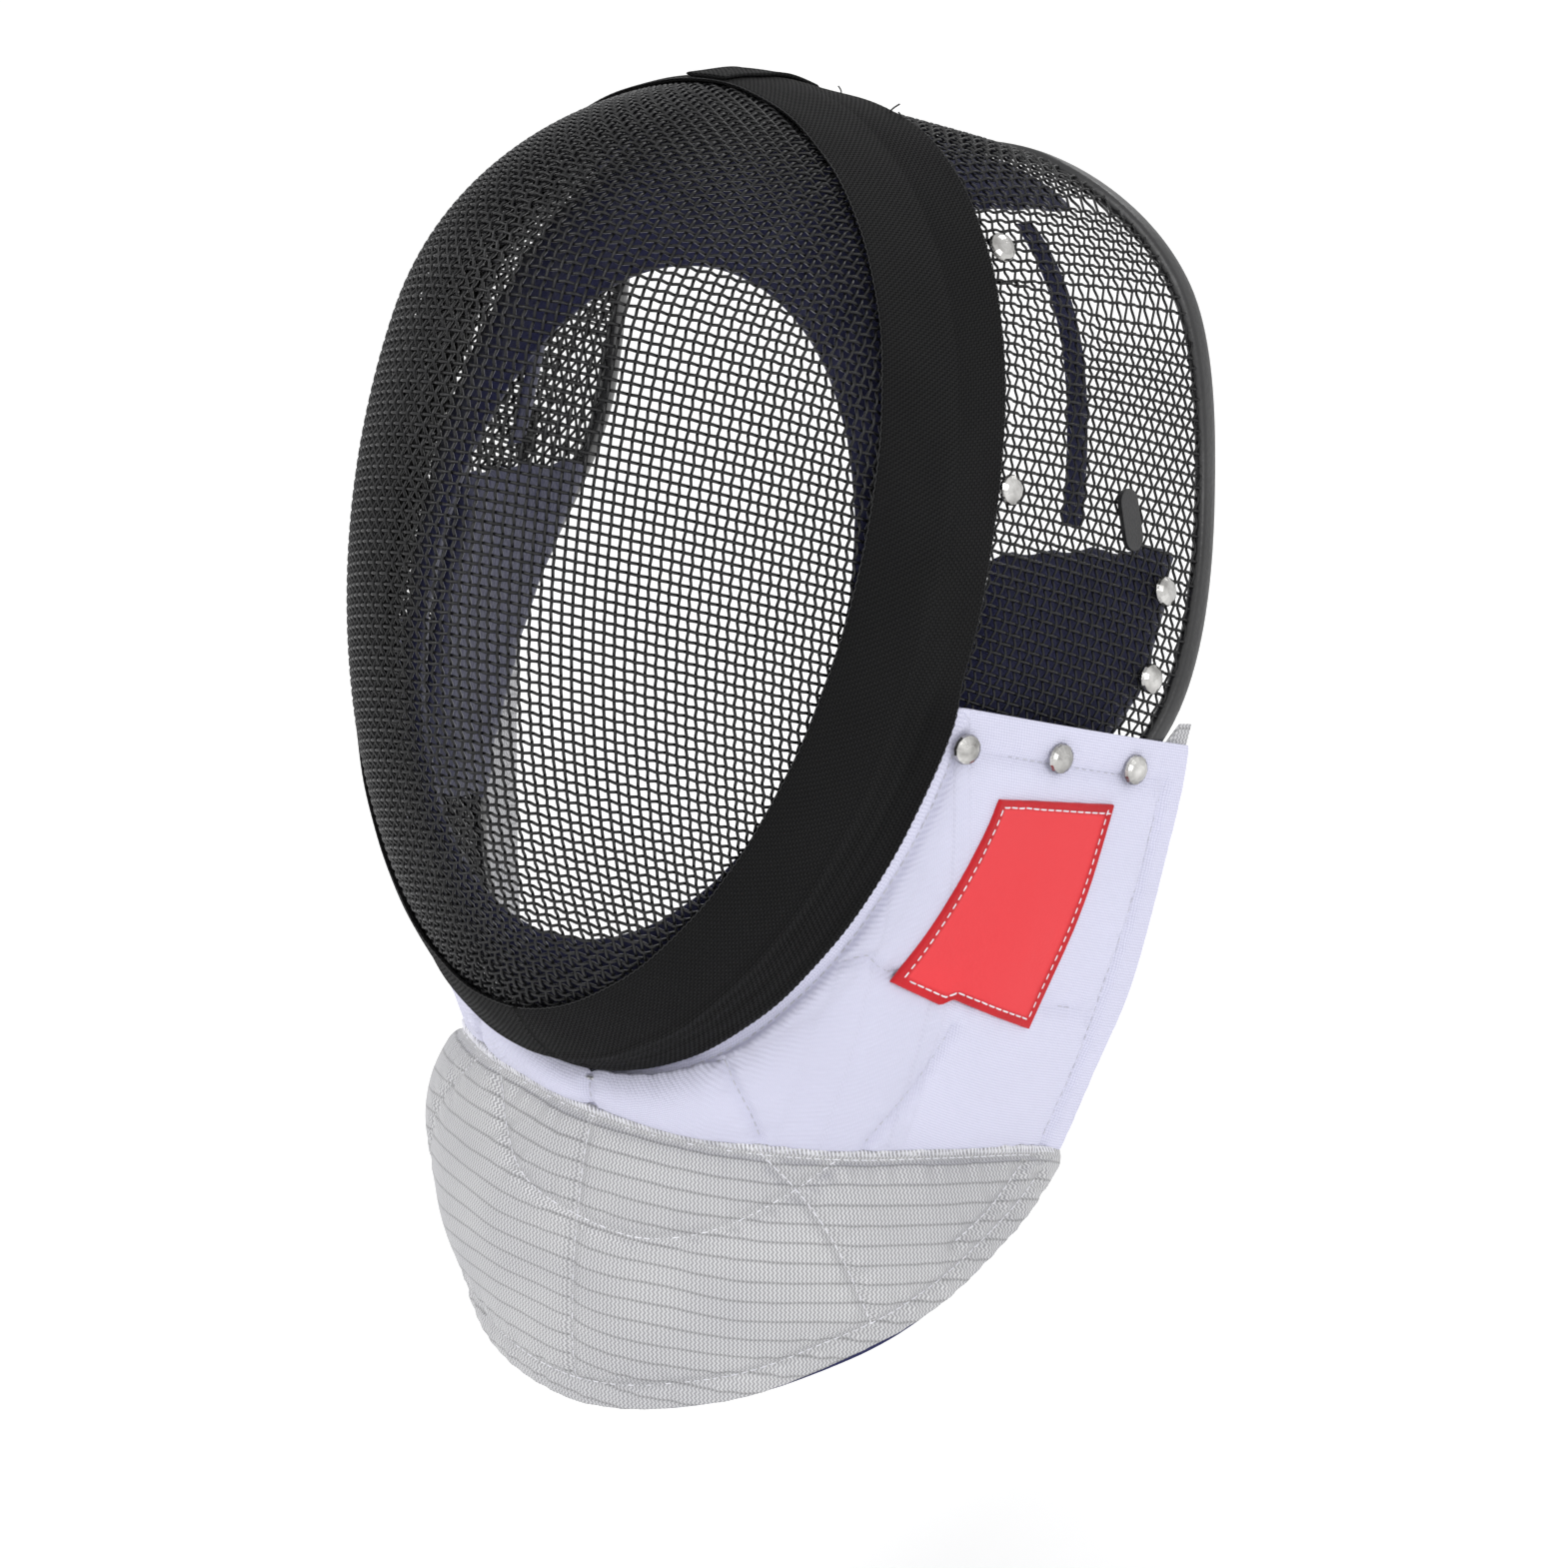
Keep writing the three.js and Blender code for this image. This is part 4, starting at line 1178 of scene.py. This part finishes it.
def sheet_piece(name, sheet, share, down, run, quilting, follow, wall_mm, set_in, finish):
    """A sheet of cloth, set in from a sheet by some millimetres. Its outer and inner faces follow
    the quilting by two shares. Returns the piece and its flat size and area in metres."""
    middle = sheet(share, down)
    normal = sheet_normal(sheet, share, down)
    across = travelled(middle, 0)
    arc = travelled(sheet(share[:, 0], np.full(len(share), 0.5)), 0)[:, None]
    half = wall_mm / 2 * rounded(run, run[:, -1:], CLOTH_EDGE) * rounded(arc, arc[-1:], CLOTH_EDGE)
    stands = quilting.relief(middle)
    outer = middle + normal * (half + follow[0] * stands - set_in)[..., None]
    inner = middle + normal * (-half + follow[1] * stands - set_in)[..., None]
    piece = new_piece(name, *two_faced(outer, inner), finish)
    fall = travelled(middle, 1)
    start = np.argmin(np.abs(down), axis=1)
    from_top = fall - np.take_along_axis(fall, start[:, None], axis=1)
    flat = np.stack([arc - arc[len(share) // 2] + 0 * fall, from_top], axis=-1)
    flat_map(piece, np.tile(flat.reshape(-1, 2), (2, 1)))
    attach(piece, "root")
    steps = np.cross(np.diff(middle, axis=0)[:, :-1], np.diff(middle, axis=1)[:-1])
    area = float(np.linalg.norm(steps, axis=-1).sum()) * MM**2
    size = (float(across.max()) * MM, float(fall.max()) * MM)
    return piece, size, min(area, size[0] * size[1])


def under_tape(share):
    """The white cloth goes on under the tape as far as the tape covers its edge."""
    return TUCKED_IN * eased((FRONT_SHARE + 0.015 - np.abs(share)) / 0.03)


# dark is the painted shade in the weave's gaps; light is the white cloth on the threads' crowns.
white_cloth = woven_cloth(
    "white_cloth", dark=(0.49, 0.49, 0.64), light=(0.67, 0.67, 0.81), along=0.75, across=0.85,
    depth=0.1, wear=0.06, Sheen_Weight=0.15, Sheen_Roughness=0.5, Specular_IOR_Level=0.2)
# The white cloth's seams get a thread toned grey: painted shade of the grooves in which the
# stitches lie.
white_thread, seam_shade_thread = (
    mottled_finish(name, patch=6.0, contrast=1.5, roughness=(0.6, 0.85), depth=0.15, tones=tones,
                   Sheen_Weight=0.2, Specular_IOR_Level=0.3)
    for name, tones in (
        ("white_thread", ((0.62, 0.62, 0.68), (0.84, 0.84, 0.88))),
        ("seam_shade_thread", ((0.36, 0.36, 0.42), (0.6, 0.6, 0.66))),
    ))

jaw = np.linspace(-0.6, 0.6, 240)
jaw_height = np.linalg.norm(white_sheet(jaw, 0 * jaw + 1) - white_sheet(jaw, 0 * jaw), axis=-1)
white_lines = both_sides(WHITE_SEAMS) + [np.stack([jaw, JAW_SEAM / jaw_height], axis=-1)]
white_quilting = Quilting(white_sheet, white_lines, groove=1.5, pucker=0.26, swells=WHITE_SWELLS)
share, down, run = cloth_grid(
    white_sheet, columns=340, rows=60, above=under_tape, below=lambda share: 0.4)
white, white_cut, white_area = sheet_piece(
    "bib_white_cloth", white_sheet, share, down, run, white_quilting, follow=(1, 0.4),
    wall_mm=BIB_WALL, set_in=0, finish=white_cloth)
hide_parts("bib_white")
white_seams = stitched("bib_white_stitches", white_quilting, seam_shade_thread, radius=0.22, length=2.3,
                       gap=0.9, lift=0.12, half=BIB_WALL / 2)

# ---- Silver skirt of the bib --------------------------------------------------------------------
# Conductive cloth woven with fine steel thread, ribbed across, sewn to the white cloth's foot and
# lined in navy. Its own silver lining goes on up behind the white cloth.
RIB_PITCH = 6.0
RIB_LINE = 0.55
ZIGZAG_RUN = 0.75
ZIGZAG_PITCH = 1.28
ZIGZAG_SWAY = 0.9
RIB_DRIFT = 1.6
TOP_SEAM = 2.6
HEM_SEAM = 8.0
SKIRT_WALL = BIB_WALL - 0.3
LINING_SET_IN = 1.8
LINING_BELOW_HEM = {"least": 1.2, "more": 2.2, "place": 0.6, "width": 0.17}
CORNER_SHOWS = {"more": 6.0, "less": 2.0, "from": 0.955, "over": 0.025}
OVERCAST_PITCH = 1.3
OVERCAST = {"along": np.array([0, 0.1, 0.35, 0.45]), "down": np.array([0.1, 0.4, 1.5, 1.8]),
            "lift": np.array([-0.4, 0, 0, -0.5])}
LAME_SEAMS = {
    "centre": [(0, 0.03), (0, 0.5), (0, 0.91)],
    "side": [(0.34, 0.02), (0.41, 0.18), (0.47, 0.43), (0.54, 0.90)],
    "rear": [(0.885, 0.23), (0.79, 0.53), (0.69, 0.65)],
}
LAME_BOW = [(-0.26, 0.04), (-0.2, 0.18), (-0.11, 0.3), (0.05, 0.36), (0.15, 0.37), (0.27, 0.31),
            (0.39, 0.18), (0.49, 0.04)]


def lame_sheet(share, down):
    """The skirt's middle, from the seam to the hem."""
    top, foot = seam_line(share), hem_line(share)
    height = np.linalg.norm(foot - top, axis=-1)
    fuller = LAME_PUFF + RIGHT_TUCK["fuller"] * right_tuck(share)
    return puffed(top, foot, down, fuller * np.minimum(height / FULL_HEIGHT, 1))


def lame_height(share):
    return np.linalg.norm(hem_line(share) - seam_line(share), axis=-1)


def ribbed_silver():
    """Silver cloth: short zig-zag threads, lighter on their crests as painted highlight, with a
    dark line between one rib and the next.
    """
    finish, tree, shader = new_finish("ribbed_silver", Metallic=0.35, Specular_IOR_Level=0.5)
    parts = tree.nodes.new("ShaderNodeSeparateXYZ")
    tree.links.new(flat_place(tree), parts.inputs[0])
    uneven = place_group(tree, mottle, Patch=26.0, Contrast=1.5)
    drift = calc(tree, "MULTIPLY", uneven.outputs["Mask"], RIB_DRIFT)
    across, fall = parts.outputs["X"], calc(tree, "ADD", parts.outputs["Y"], drift)
    sway = calc(tree, "PINGPONG", fall, ZIGZAG_RUN)
    place = calc(tree, "ADD", across, calc(tree, "MULTIPLY", sway, ZIGZAG_SWAY))
    thread = calc(tree, "SINE", calc(tree, "MULTIPLY", place, 2 * math.pi / ZIGZAG_PITCH))
    thread = calc(tree, "MULTIPLY_ADD", thread, 0.5, 0.5)
    rib = calc(tree, "PINGPONG", fall, RIB_PITCH / 2)
    beside = calc(tree, "MINIMUM", calc(tree, "DIVIDE", rib, RIB_LINE), 1.0)
    line = calc(tree, "SUBTRACT", 1.0, beside)
    # The zig-zag threads' own silver tone, lightened on their crests as painted highlight.
    tone = blended(tree, thread, (0.31, 0.31, 0.32), (0.60, 0.60, 0.61))
    tint = blended(tree, uneven.outputs["Mask"], (0.87, 0.87, 0.89), (1.0, 1.0, 1.0))
    toned = tinted(tree, tone, tint)
    tree.links.new(blended(tree, calc(tree, "MULTIPLY", line, 0.5), toned, (0.15, 0.15, 0.15)),
                   shader.inputs["Base Color"])
    tree.links.new(between(tree, thread, 0.7, 0.42), shader.inputs["Roughness"])
    height = calc(tree, "SUBTRACT", calc(tree, "MULTIPLY", thread, 0.6), line)
    relief(tree, shader, height, 0.2)
    return finish


silver_cloth = ribbed_silver()
chin = np.linspace(-0.93, 0.93, 500)
top_stitch = np.stack([chin, TOP_SEAM / lame_height(chin)], axis=-1)
hem_stitch = np.stack([chin, 1 - HEM_SEAM / lame_height(chin)], axis=-1)
lame_lines = both_sides(LAME_SEAMS) + [smooth_line(LAME_BOW), top_stitch, hem_stitch]
lame_quilting = Quilting(lame_sheet, lame_lines, groove=1.4, pucker=0.4, swells=(30.0, 2.3))
share, down, run = cloth_grid(
    lame_sheet, columns=300, rows=68, above=lambda share: 0 * share + 0.4, below=lambda share: 0)
lame, lame_cut, lame_area = sheet_piece(
    "silver_skirt", lame_sheet, share, down, run, lame_quilting, follow=(1, 0.4),
    wall_mm=SKIRT_WALL, set_in=0, finish=silver_cloth)
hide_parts("bib_conductive")
lame_seams = stitched("silver_skirt_stitches", lame_quilting, white_thread, radius=0.21,
                      length=2.3, gap=0.7, lift=0.1, half=SKIRT_WALL / 2)

joint = np.linspace(-0.985, 0.985, 900)
joint_travel = travelled(seam_line(joint), 0)
overcast = []
for start in np.arange(1.0, joint_travel[-1] - 2.0, OVERCAST_PITCH):
    marks = np.interp(start + OVERCAST["along"], joint_travel, joint)
    fall = OVERCAST["down"] / lame_height(marks)
    place = lame_sheet(marks, fall)
    out = sheet_normal(lame_sheet, marks, fall)
    stand = SKIRT_WALL / 2 + lame_quilting.relief(place) + OVERCAST["lift"]
    overcast.append((place + out * stand[:, None], out))
braid_shape = tube_mesh(overcast, radius=0.34, sides=5)
braid = new_piece("silver_skirt_braid", *braid_shape, white_thread)
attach(braid, "root")

# dark is the painted shade in the weave's gaps; light is the navy cloth on the threads' crowns.
navy_lining = woven_cloth(
    "navy_lining", dark=(0.008, 0.009, 0.05), light=(0.02, 0.022, 0.11), along=0.7, across=0.7,
    depth=0.15, wear=0.2, Specular_IOR_Level=0.3)


def past_hem(share):
    """The navy lining hangs a little below the hem, most of all on the wearer's left."""
    hem = LINING_BELOW_HEM
    return hem["least"] + hem["more"] * np.exp(-(((share - hem["place"]) / hem["width"]) ** 2))


share, down, run = cloth_grid(
    lame_sheet, columns=110, rows=14, above=lambda share: 0 * share - 3.0, below=past_hem)
navy, navy_cut, navy_area = sheet_piece(
    "skirt_lining", lame_sheet, share, down, run, lame_quilting, follow=(0.4, 0.4), wall_mm=0.7,
    set_in=LINING_SET_IN, finish=navy_lining)


def past_top(share):
    """The silver lining stands proud of the white cloth only at its top rear corners."""
    corner = CORNER_SHOWS
    shown = eased((np.abs(share) - corner["from"]) / corner["over"])
    return corner["more"] * shown - corner["less"]


share, down, run = cloth_grid(
    white_sheet, columns=110, rows=14, above=past_top, below=lambda share: -1.0)
inside, inside_cut, inside_area = sheet_piece(
    "bib_lining", white_sheet, share, down, run, white_quilting, follow=(0.4, 0.4), wall_mm=0.6,
    set_in=LINING_SET_IN, finish=silver_cloth)

# ---- Label --------------------------------------------------------------------------------------
# A bare patch of red cloth on the wearer's left side, its edges folded under and lockstitched in
# white. Its foot runs a little lower at the front, where the fold is doubled.
LABEL_CORNERS = {"top_front": (104, 19, -62), "top_rear": (117, 64, -74),
                 "foot_rear": (102, 37, -139), "foot_front": (87, -9, -112)}
LABEL_BOW = 1.2
LABEL_FOLD = 3.4
LABEL_THICK = 0.75
LABEL_FOLD_THICK = 0.45
LABEL_GROOVE = {"depth": 0.35, "inset": 2.3, "width": 0.5}
LABEL_SOFT = 0.7
LABEL_UNDER = -0.3
LABEL_RUNS_ON = {"share": 0.05, "from": 0.85, "to_front_of": 0.34, "step": 0.07}
LABEL_ROUND = 0.7
LABEL_SEAM_INSET = 2.4
LABEL_STITCH = 2.5
LABEL_STITCH_LIFT = 1.0
LABEL_STITCH_DIP = np.array([-0.35, 0, 0, -0.35])[:, None]
LABEL_STITCH_PITCH = 3.1
LABEL_STEPS = 52
LABEL_MARKS = 17


def nearest_on(sheet, targets):
    """Share across and down a sheet of the places nearest to some points, found on a grid that
    closes in on them."""
    share, down = np.full(targets.shape[:-1], 0.7), np.full(targets.shape[:-1], 0.4)
    reach = 0.2
    while reach > 0.0004:
        offers = [(share + i * reach, down + j * reach) for i in (-1, 0, 1) for j in (-1, 0, 1)]
        gaps = np.stack([np.linalg.norm(sheet(*offer) - targets, axis=-1) for offer in offers])
        best = np.argmin(gaps, axis=0)[None]
        stays = bool((best == 4).all())
        share, down = (np.take_along_axis(np.stack(column), best, axis=0)[0]
                       for column in zip(*offers))
        reach = reach / 2 if stays else reach * 0.85
    return share, down


def label_spot(u, v):
    """The flat label's place in space before it is laid on the cloth."""
    corner = {name: np.array(value, float) for name, value in LABEL_CORNERS.items()}
    u, v = u[..., None], v[..., None]
    top = corner["top_front"] * (1 - u) + corner["top_rear"] * u
    foot = corner["foot_front"] * (1 - u) + corner["foot_rear"] * u
    rearward = unit(corner["top_rear"] - corner["top_front"])
    return top * (1 - v) + foot * v + rearward * (LABEL_BOW * 4 * v * (1 - v))


label_marks = np.linspace(0, 1.08, LABEL_MARKS)
laid = nearest_on(white_sheet, label_spot(*np.meshgrid(label_marks, label_marks, indexing="ij")))


def label_place(u, v):
    """Share across and down the white cloth for a place on the label."""
    low = eased((v - LABEL_RUNS_ON["from"]) / (1 - LABEL_RUNS_ON["from"]))
    front = 1 - eased((u - LABEL_RUNS_ON["to_front_of"]) / LABEL_RUNS_ON["step"])
    v = v + LABEL_RUNS_ON["share"] * low * front
    x, y = (np.clip(place / label_marks[1], 0, LABEL_MARKS - 1.001) for place in (u, v))
    i, j = x.astype(int), y.astype(int)
    x, y = x - i, y - j
    return tuple(
        (grid[i, j] * (1 - x) + grid[i + 1, j] * x) * (1 - y)
        + (grid[i, j + 1] * (1 - x) + grid[i + 1, j + 1] * x) * y
        for grid in laid
    )


def label_surface(u, v, lift):
    share, down = label_place(u, v)
    middle = white_sheet(share, down)
    over = BIB_WALL / 2 + billow(middle, *WHITE_SWELLS) + lift
    return middle + sheet_normal(white_sheet, share, down) * over[..., None]


def from_label_edge(u, v, width, height):
    """Distance from the label's nearest edge, in millimetres."""
    return np.minimum(np.minimum(u, 1 - u) * width, np.minimum(v, 1 - v) * height)


corner_u, corner_v = np.array([0, 1, 0.0]), np.array([0, 0, 1.0])
corners = label_surface(corner_u, corner_v, 0)
label_width = float(np.linalg.norm(corners[1] - corners[0]))
label_height = float(np.linalg.norm(corners[2] - corners[0]))
u = packed(1.0, LABEL_STEPS, 1.0 / label_width)
v = packed(1.0, LABEL_STEPS, 1.0 / label_height)
u, v = np.meshgrid(u, v, indexing="ij")
inset = from_label_edge(u, v, label_width, label_height)
fold = 1 - eased((inset - LABEL_FOLD + LABEL_SOFT) / LABEL_SOFT)
off_seam = (inset - LABEL_GROOVE["inset"]) / LABEL_GROOVE["width"]
groove = LABEL_GROOVE["depth"] * np.exp(-(off_seam ** 2))
thick = LABEL_THICK + LABEL_FOLD_THICK * fold - groove
thick = thick * np.sqrt(np.maximum(1 - (1 - np.clip(inset / LABEL_ROUND, 0, 1)) ** 2, 0)) + 0.05
label_outer = label_surface(u, v, thick)
label_inner = label_surface(u, v, LABEL_UNDER)


def red_cloth():
    finish, tree, shader = new_finish("red_cloth", Sheen_Weight=0.1, Specular_IOR_Level=0.2)
    weave = place_group(tree, plain_weave, Flat=flat_place(tree), Along=0.35, Across=0.35)
    folded = tree.nodes.new("ShaderNodeAttribute")
    folded.attribute_name = "folded"
    uneven = place_group(tree, mottle, Patch=14.0, Contrast=1.6)
    # Painted shade: the red darkens in the weave's gaps and is lighter on its crowns.
    field = blended(tree, weave.outputs["Height"], (0.70, 0.040, 0.050), (0.81, 0.056, 0.066))
    edge = blended(tree, uneven.outputs["Mask"], (0.44, 0.010, 0.016), (0.60, 0.018, 0.026))
    tree.links.new(blended(tree, folded.outputs["Fac"], field, edge), shader.inputs["Base Color"])
    tree.links.new(between(tree, weave.outputs["Height"], 0.9, 0.75), shader.inputs["Roughness"])
    relief(tree, shader, weave.outputs["Height"], 0.08)
    return finish


label = new_piece("red_label", *two_faced(label_outer, label_inner), red_cloth())
flat = np.stack([u * label_width, v * label_height], axis=-1).reshape(-1, 2)
flat_map(label, np.tile(flat, (2, 1)))
folded = label.data.attributes.new("folded", "FLOAT", "POINT")
folded.data.foreach_set("value", np.tile(fold.ravel(), 2))
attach(label, "root")
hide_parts("bib_label")

u_in, v_in = LABEL_SEAM_INSET / label_width, LABEL_SEAM_INSET / label_height
runs = [((u_in, v_in), (1, v_in)), ((1 - u_in, 0.01), (1 - u_in, 1 - v_in)),
        ((1 - u_in, 1 - v_in), (u_in, 1 - v_in)), ((u_in, 1 - v_in), (u_in, v_in))]
label_threads = []
for start, end in runs:
    steps = np.linspace(0, 1, 400)
    line_u, line_v = (start[k] + (end[k] - start[k]) * steps for k in range(2))
    path = label_surface(line_u, line_v, LABEL_STITCH_LIFT)
    facing = sheet_normal(white_sheet, *label_place(line_u, line_v))
    arc = travelled(path, 0)
    for begin in np.arange(0.3, arc[-1] - 2.4, LABEL_STITCH_PITCH):
        marks = begin + np.array([0, 0.24, 0.76, 1]) * LABEL_STITCH
        thread, out = (at_marks(marks, arc, values) for values in (path, facing))
        label_threads.append((thread + out * LABEL_STITCH_DIP, out))
label_stitches = tube_mesh(label_threads, radius=0.27, sides=6)
label_seam = new_piece("red_label_stitches", *label_stitches, white_thread)
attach(label_seam, "root")

# ---- Rivets and strap plates --------------------------------------------------------------------
# Domed nickel-plated rivets hold the inner straps and the bib to the side mesh. Two black oval
# plates of moulded plastic cover the slots of the rear strap.
# Blend of the painted reflection that darkens the rivets' colour towards their rims.
NICKEL_PAINTED_REFLECTION_BLEND = 0.42


def nickel_plate():
    finish, tree, shader = new_finish("nickel_plate", Metallic=1.0)
    uneven = place_group(tree, mottle, Patch=8.0, Contrast=2.8)
    tone = blended(tree, uneven.outputs["Mask"], (0.26, 0.255, 0.245), (0.86, 0.85, 0.83))
    # Painted reflection: the base colour darkens towards grazing angles and stands in for the dark
    # surroundings that the domed rivets reflect.
    edge = tree.nodes.new("ShaderNodeLayerWeight")
    edge.inputs["Blend"].default_value = NICKEL_PAINTED_REFLECTION_BLEND
    tree.links.new(blended(tree, edge.outputs["Facing"], tone, (0.09, 0.088, 0.085)),
                   shader.inputs["Base Color"])
    tree.links.new(between(tree, uneven.outputs["Grit"], 0.08, 0.25), shader.inputs["Roughness"])
    relief(tree, shader, uneven.outputs["Mask"], 0.1)
    return finish


nickel = nickel_plate()
plastic = mottled_finish(
    "moulded_plastic", patch=8.0, contrast=1.5, roughness=(0.35, 0.6), depth=0.1,
    tones=((0.006, 0.006, 0.007), (0.016, 0.016, 0.017)), Coat_Weight=0.05)
for name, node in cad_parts.items():
    if "rivet" in name or "strap_plate" in name:
        finish = nickel if "rivet" in name else plastic
        for slot in node.material_slots:
            slot.material = finish

# ---- Studio -------------------------------------------------------------------------------------
# A pale floor under the mask, which is held up in the air as on a head, with soft lamps.
FLOOR_DROP = 0.11
FLOOR_HALF = 25.0
LAMP_AIM = Vector((0, -0.1, -0.15))
AIM = Vector((0.0423, -0.088, -0.1732))
VIEW_AZIMUTH, VIEW_ELEVATION, VIEW_ROLL = 33.66, 16.92, -1.16
VIEW_DISTANCE = 2.356
LENS = 181.4

floor_z = cad_low[2] - FLOOR_DROP
floor_corners = [
    (x * FLOOR_HALF, y * FLOOR_HALF, floor_z) for x, y in ((-1, -1), (1, -1), (1, 1), (-1, 1))
]
mesh = bpy.data.meshes.new("floor")
mesh.from_pydata(floor_corners, [], [(0, 1, 2, 3)])
floor_finish, _, _ = new_finish("pale_floor", Base_Color=(0.96, 0.96, 0.96, 1), Roughness=0.9)
mesh.materials.append(floor_finish)
floor = bpy.data.objects.new("floor", mesh)
bpy.context.scene.collection.objects.link(floor)

world = bpy.data.worlds.new("studio")
world.use_nodes = True
world.node_tree.nodes["Background"].inputs["Color"].default_value = (1, 1, 1, 1)
world.node_tree.nodes["Background"].inputs["Strength"].default_value = 1.0
bpy.context.scene.world = world
bpy.context.scene.view_settings.view_transform = "Standard"


def soft_lamp(name, place, size, power):
    lamp = bpy.data.lights.new(name, "AREA")
    lamp.shape, lamp.size, lamp.energy = "DISK", size, power
    holder = bpy.data.objects.new(name, lamp)
    holder.location = place
    aim = LAMP_AIM - Vector(place)
    holder.rotation_mode = "QUATERNION"
    holder.rotation_quaternion = aim.to_track_quat("-Z", "Y")
    bpy.context.scene.collection.objects.link(holder)


soft_lamp("key", place=(-0.9, -2.2, 1.9), size=1.2, power=31)
soft_lamp("fill", place=(2.4, -1.4, 1.0), size=1.4, power=15)
soft_lamp("rim", place=(0.6, 2.0, 1.8), size=1.2, power=16)

camera = bpy.data.objects.new("camera", bpy.data.cameras.new("camera"))
camera.data.lens = LENS
camera.data.sensor_width = 36
camera.data.clip_end = 50
azimuth, elevation = math.radians(VIEW_AZIMUTH), math.radians(VIEW_ELEVATION)
back = Vector((
    math.sin(azimuth) * math.cos(elevation), -math.cos(azimuth) * math.cos(elevation),
    math.sin(elevation)))
camera.location = AIM + back * VIEW_DISTANCE
camera.rotation_mode = "QUATERNION"
roll = Quaternion((0, 0, 1), math.radians(VIEW_ROLL))
camera.rotation_quaternion = (-back).to_track_quat("-Z", "Y") @ roll
bpy.context.scene.collection.objects.link(camera)
bpy.context.scene.camera = camera
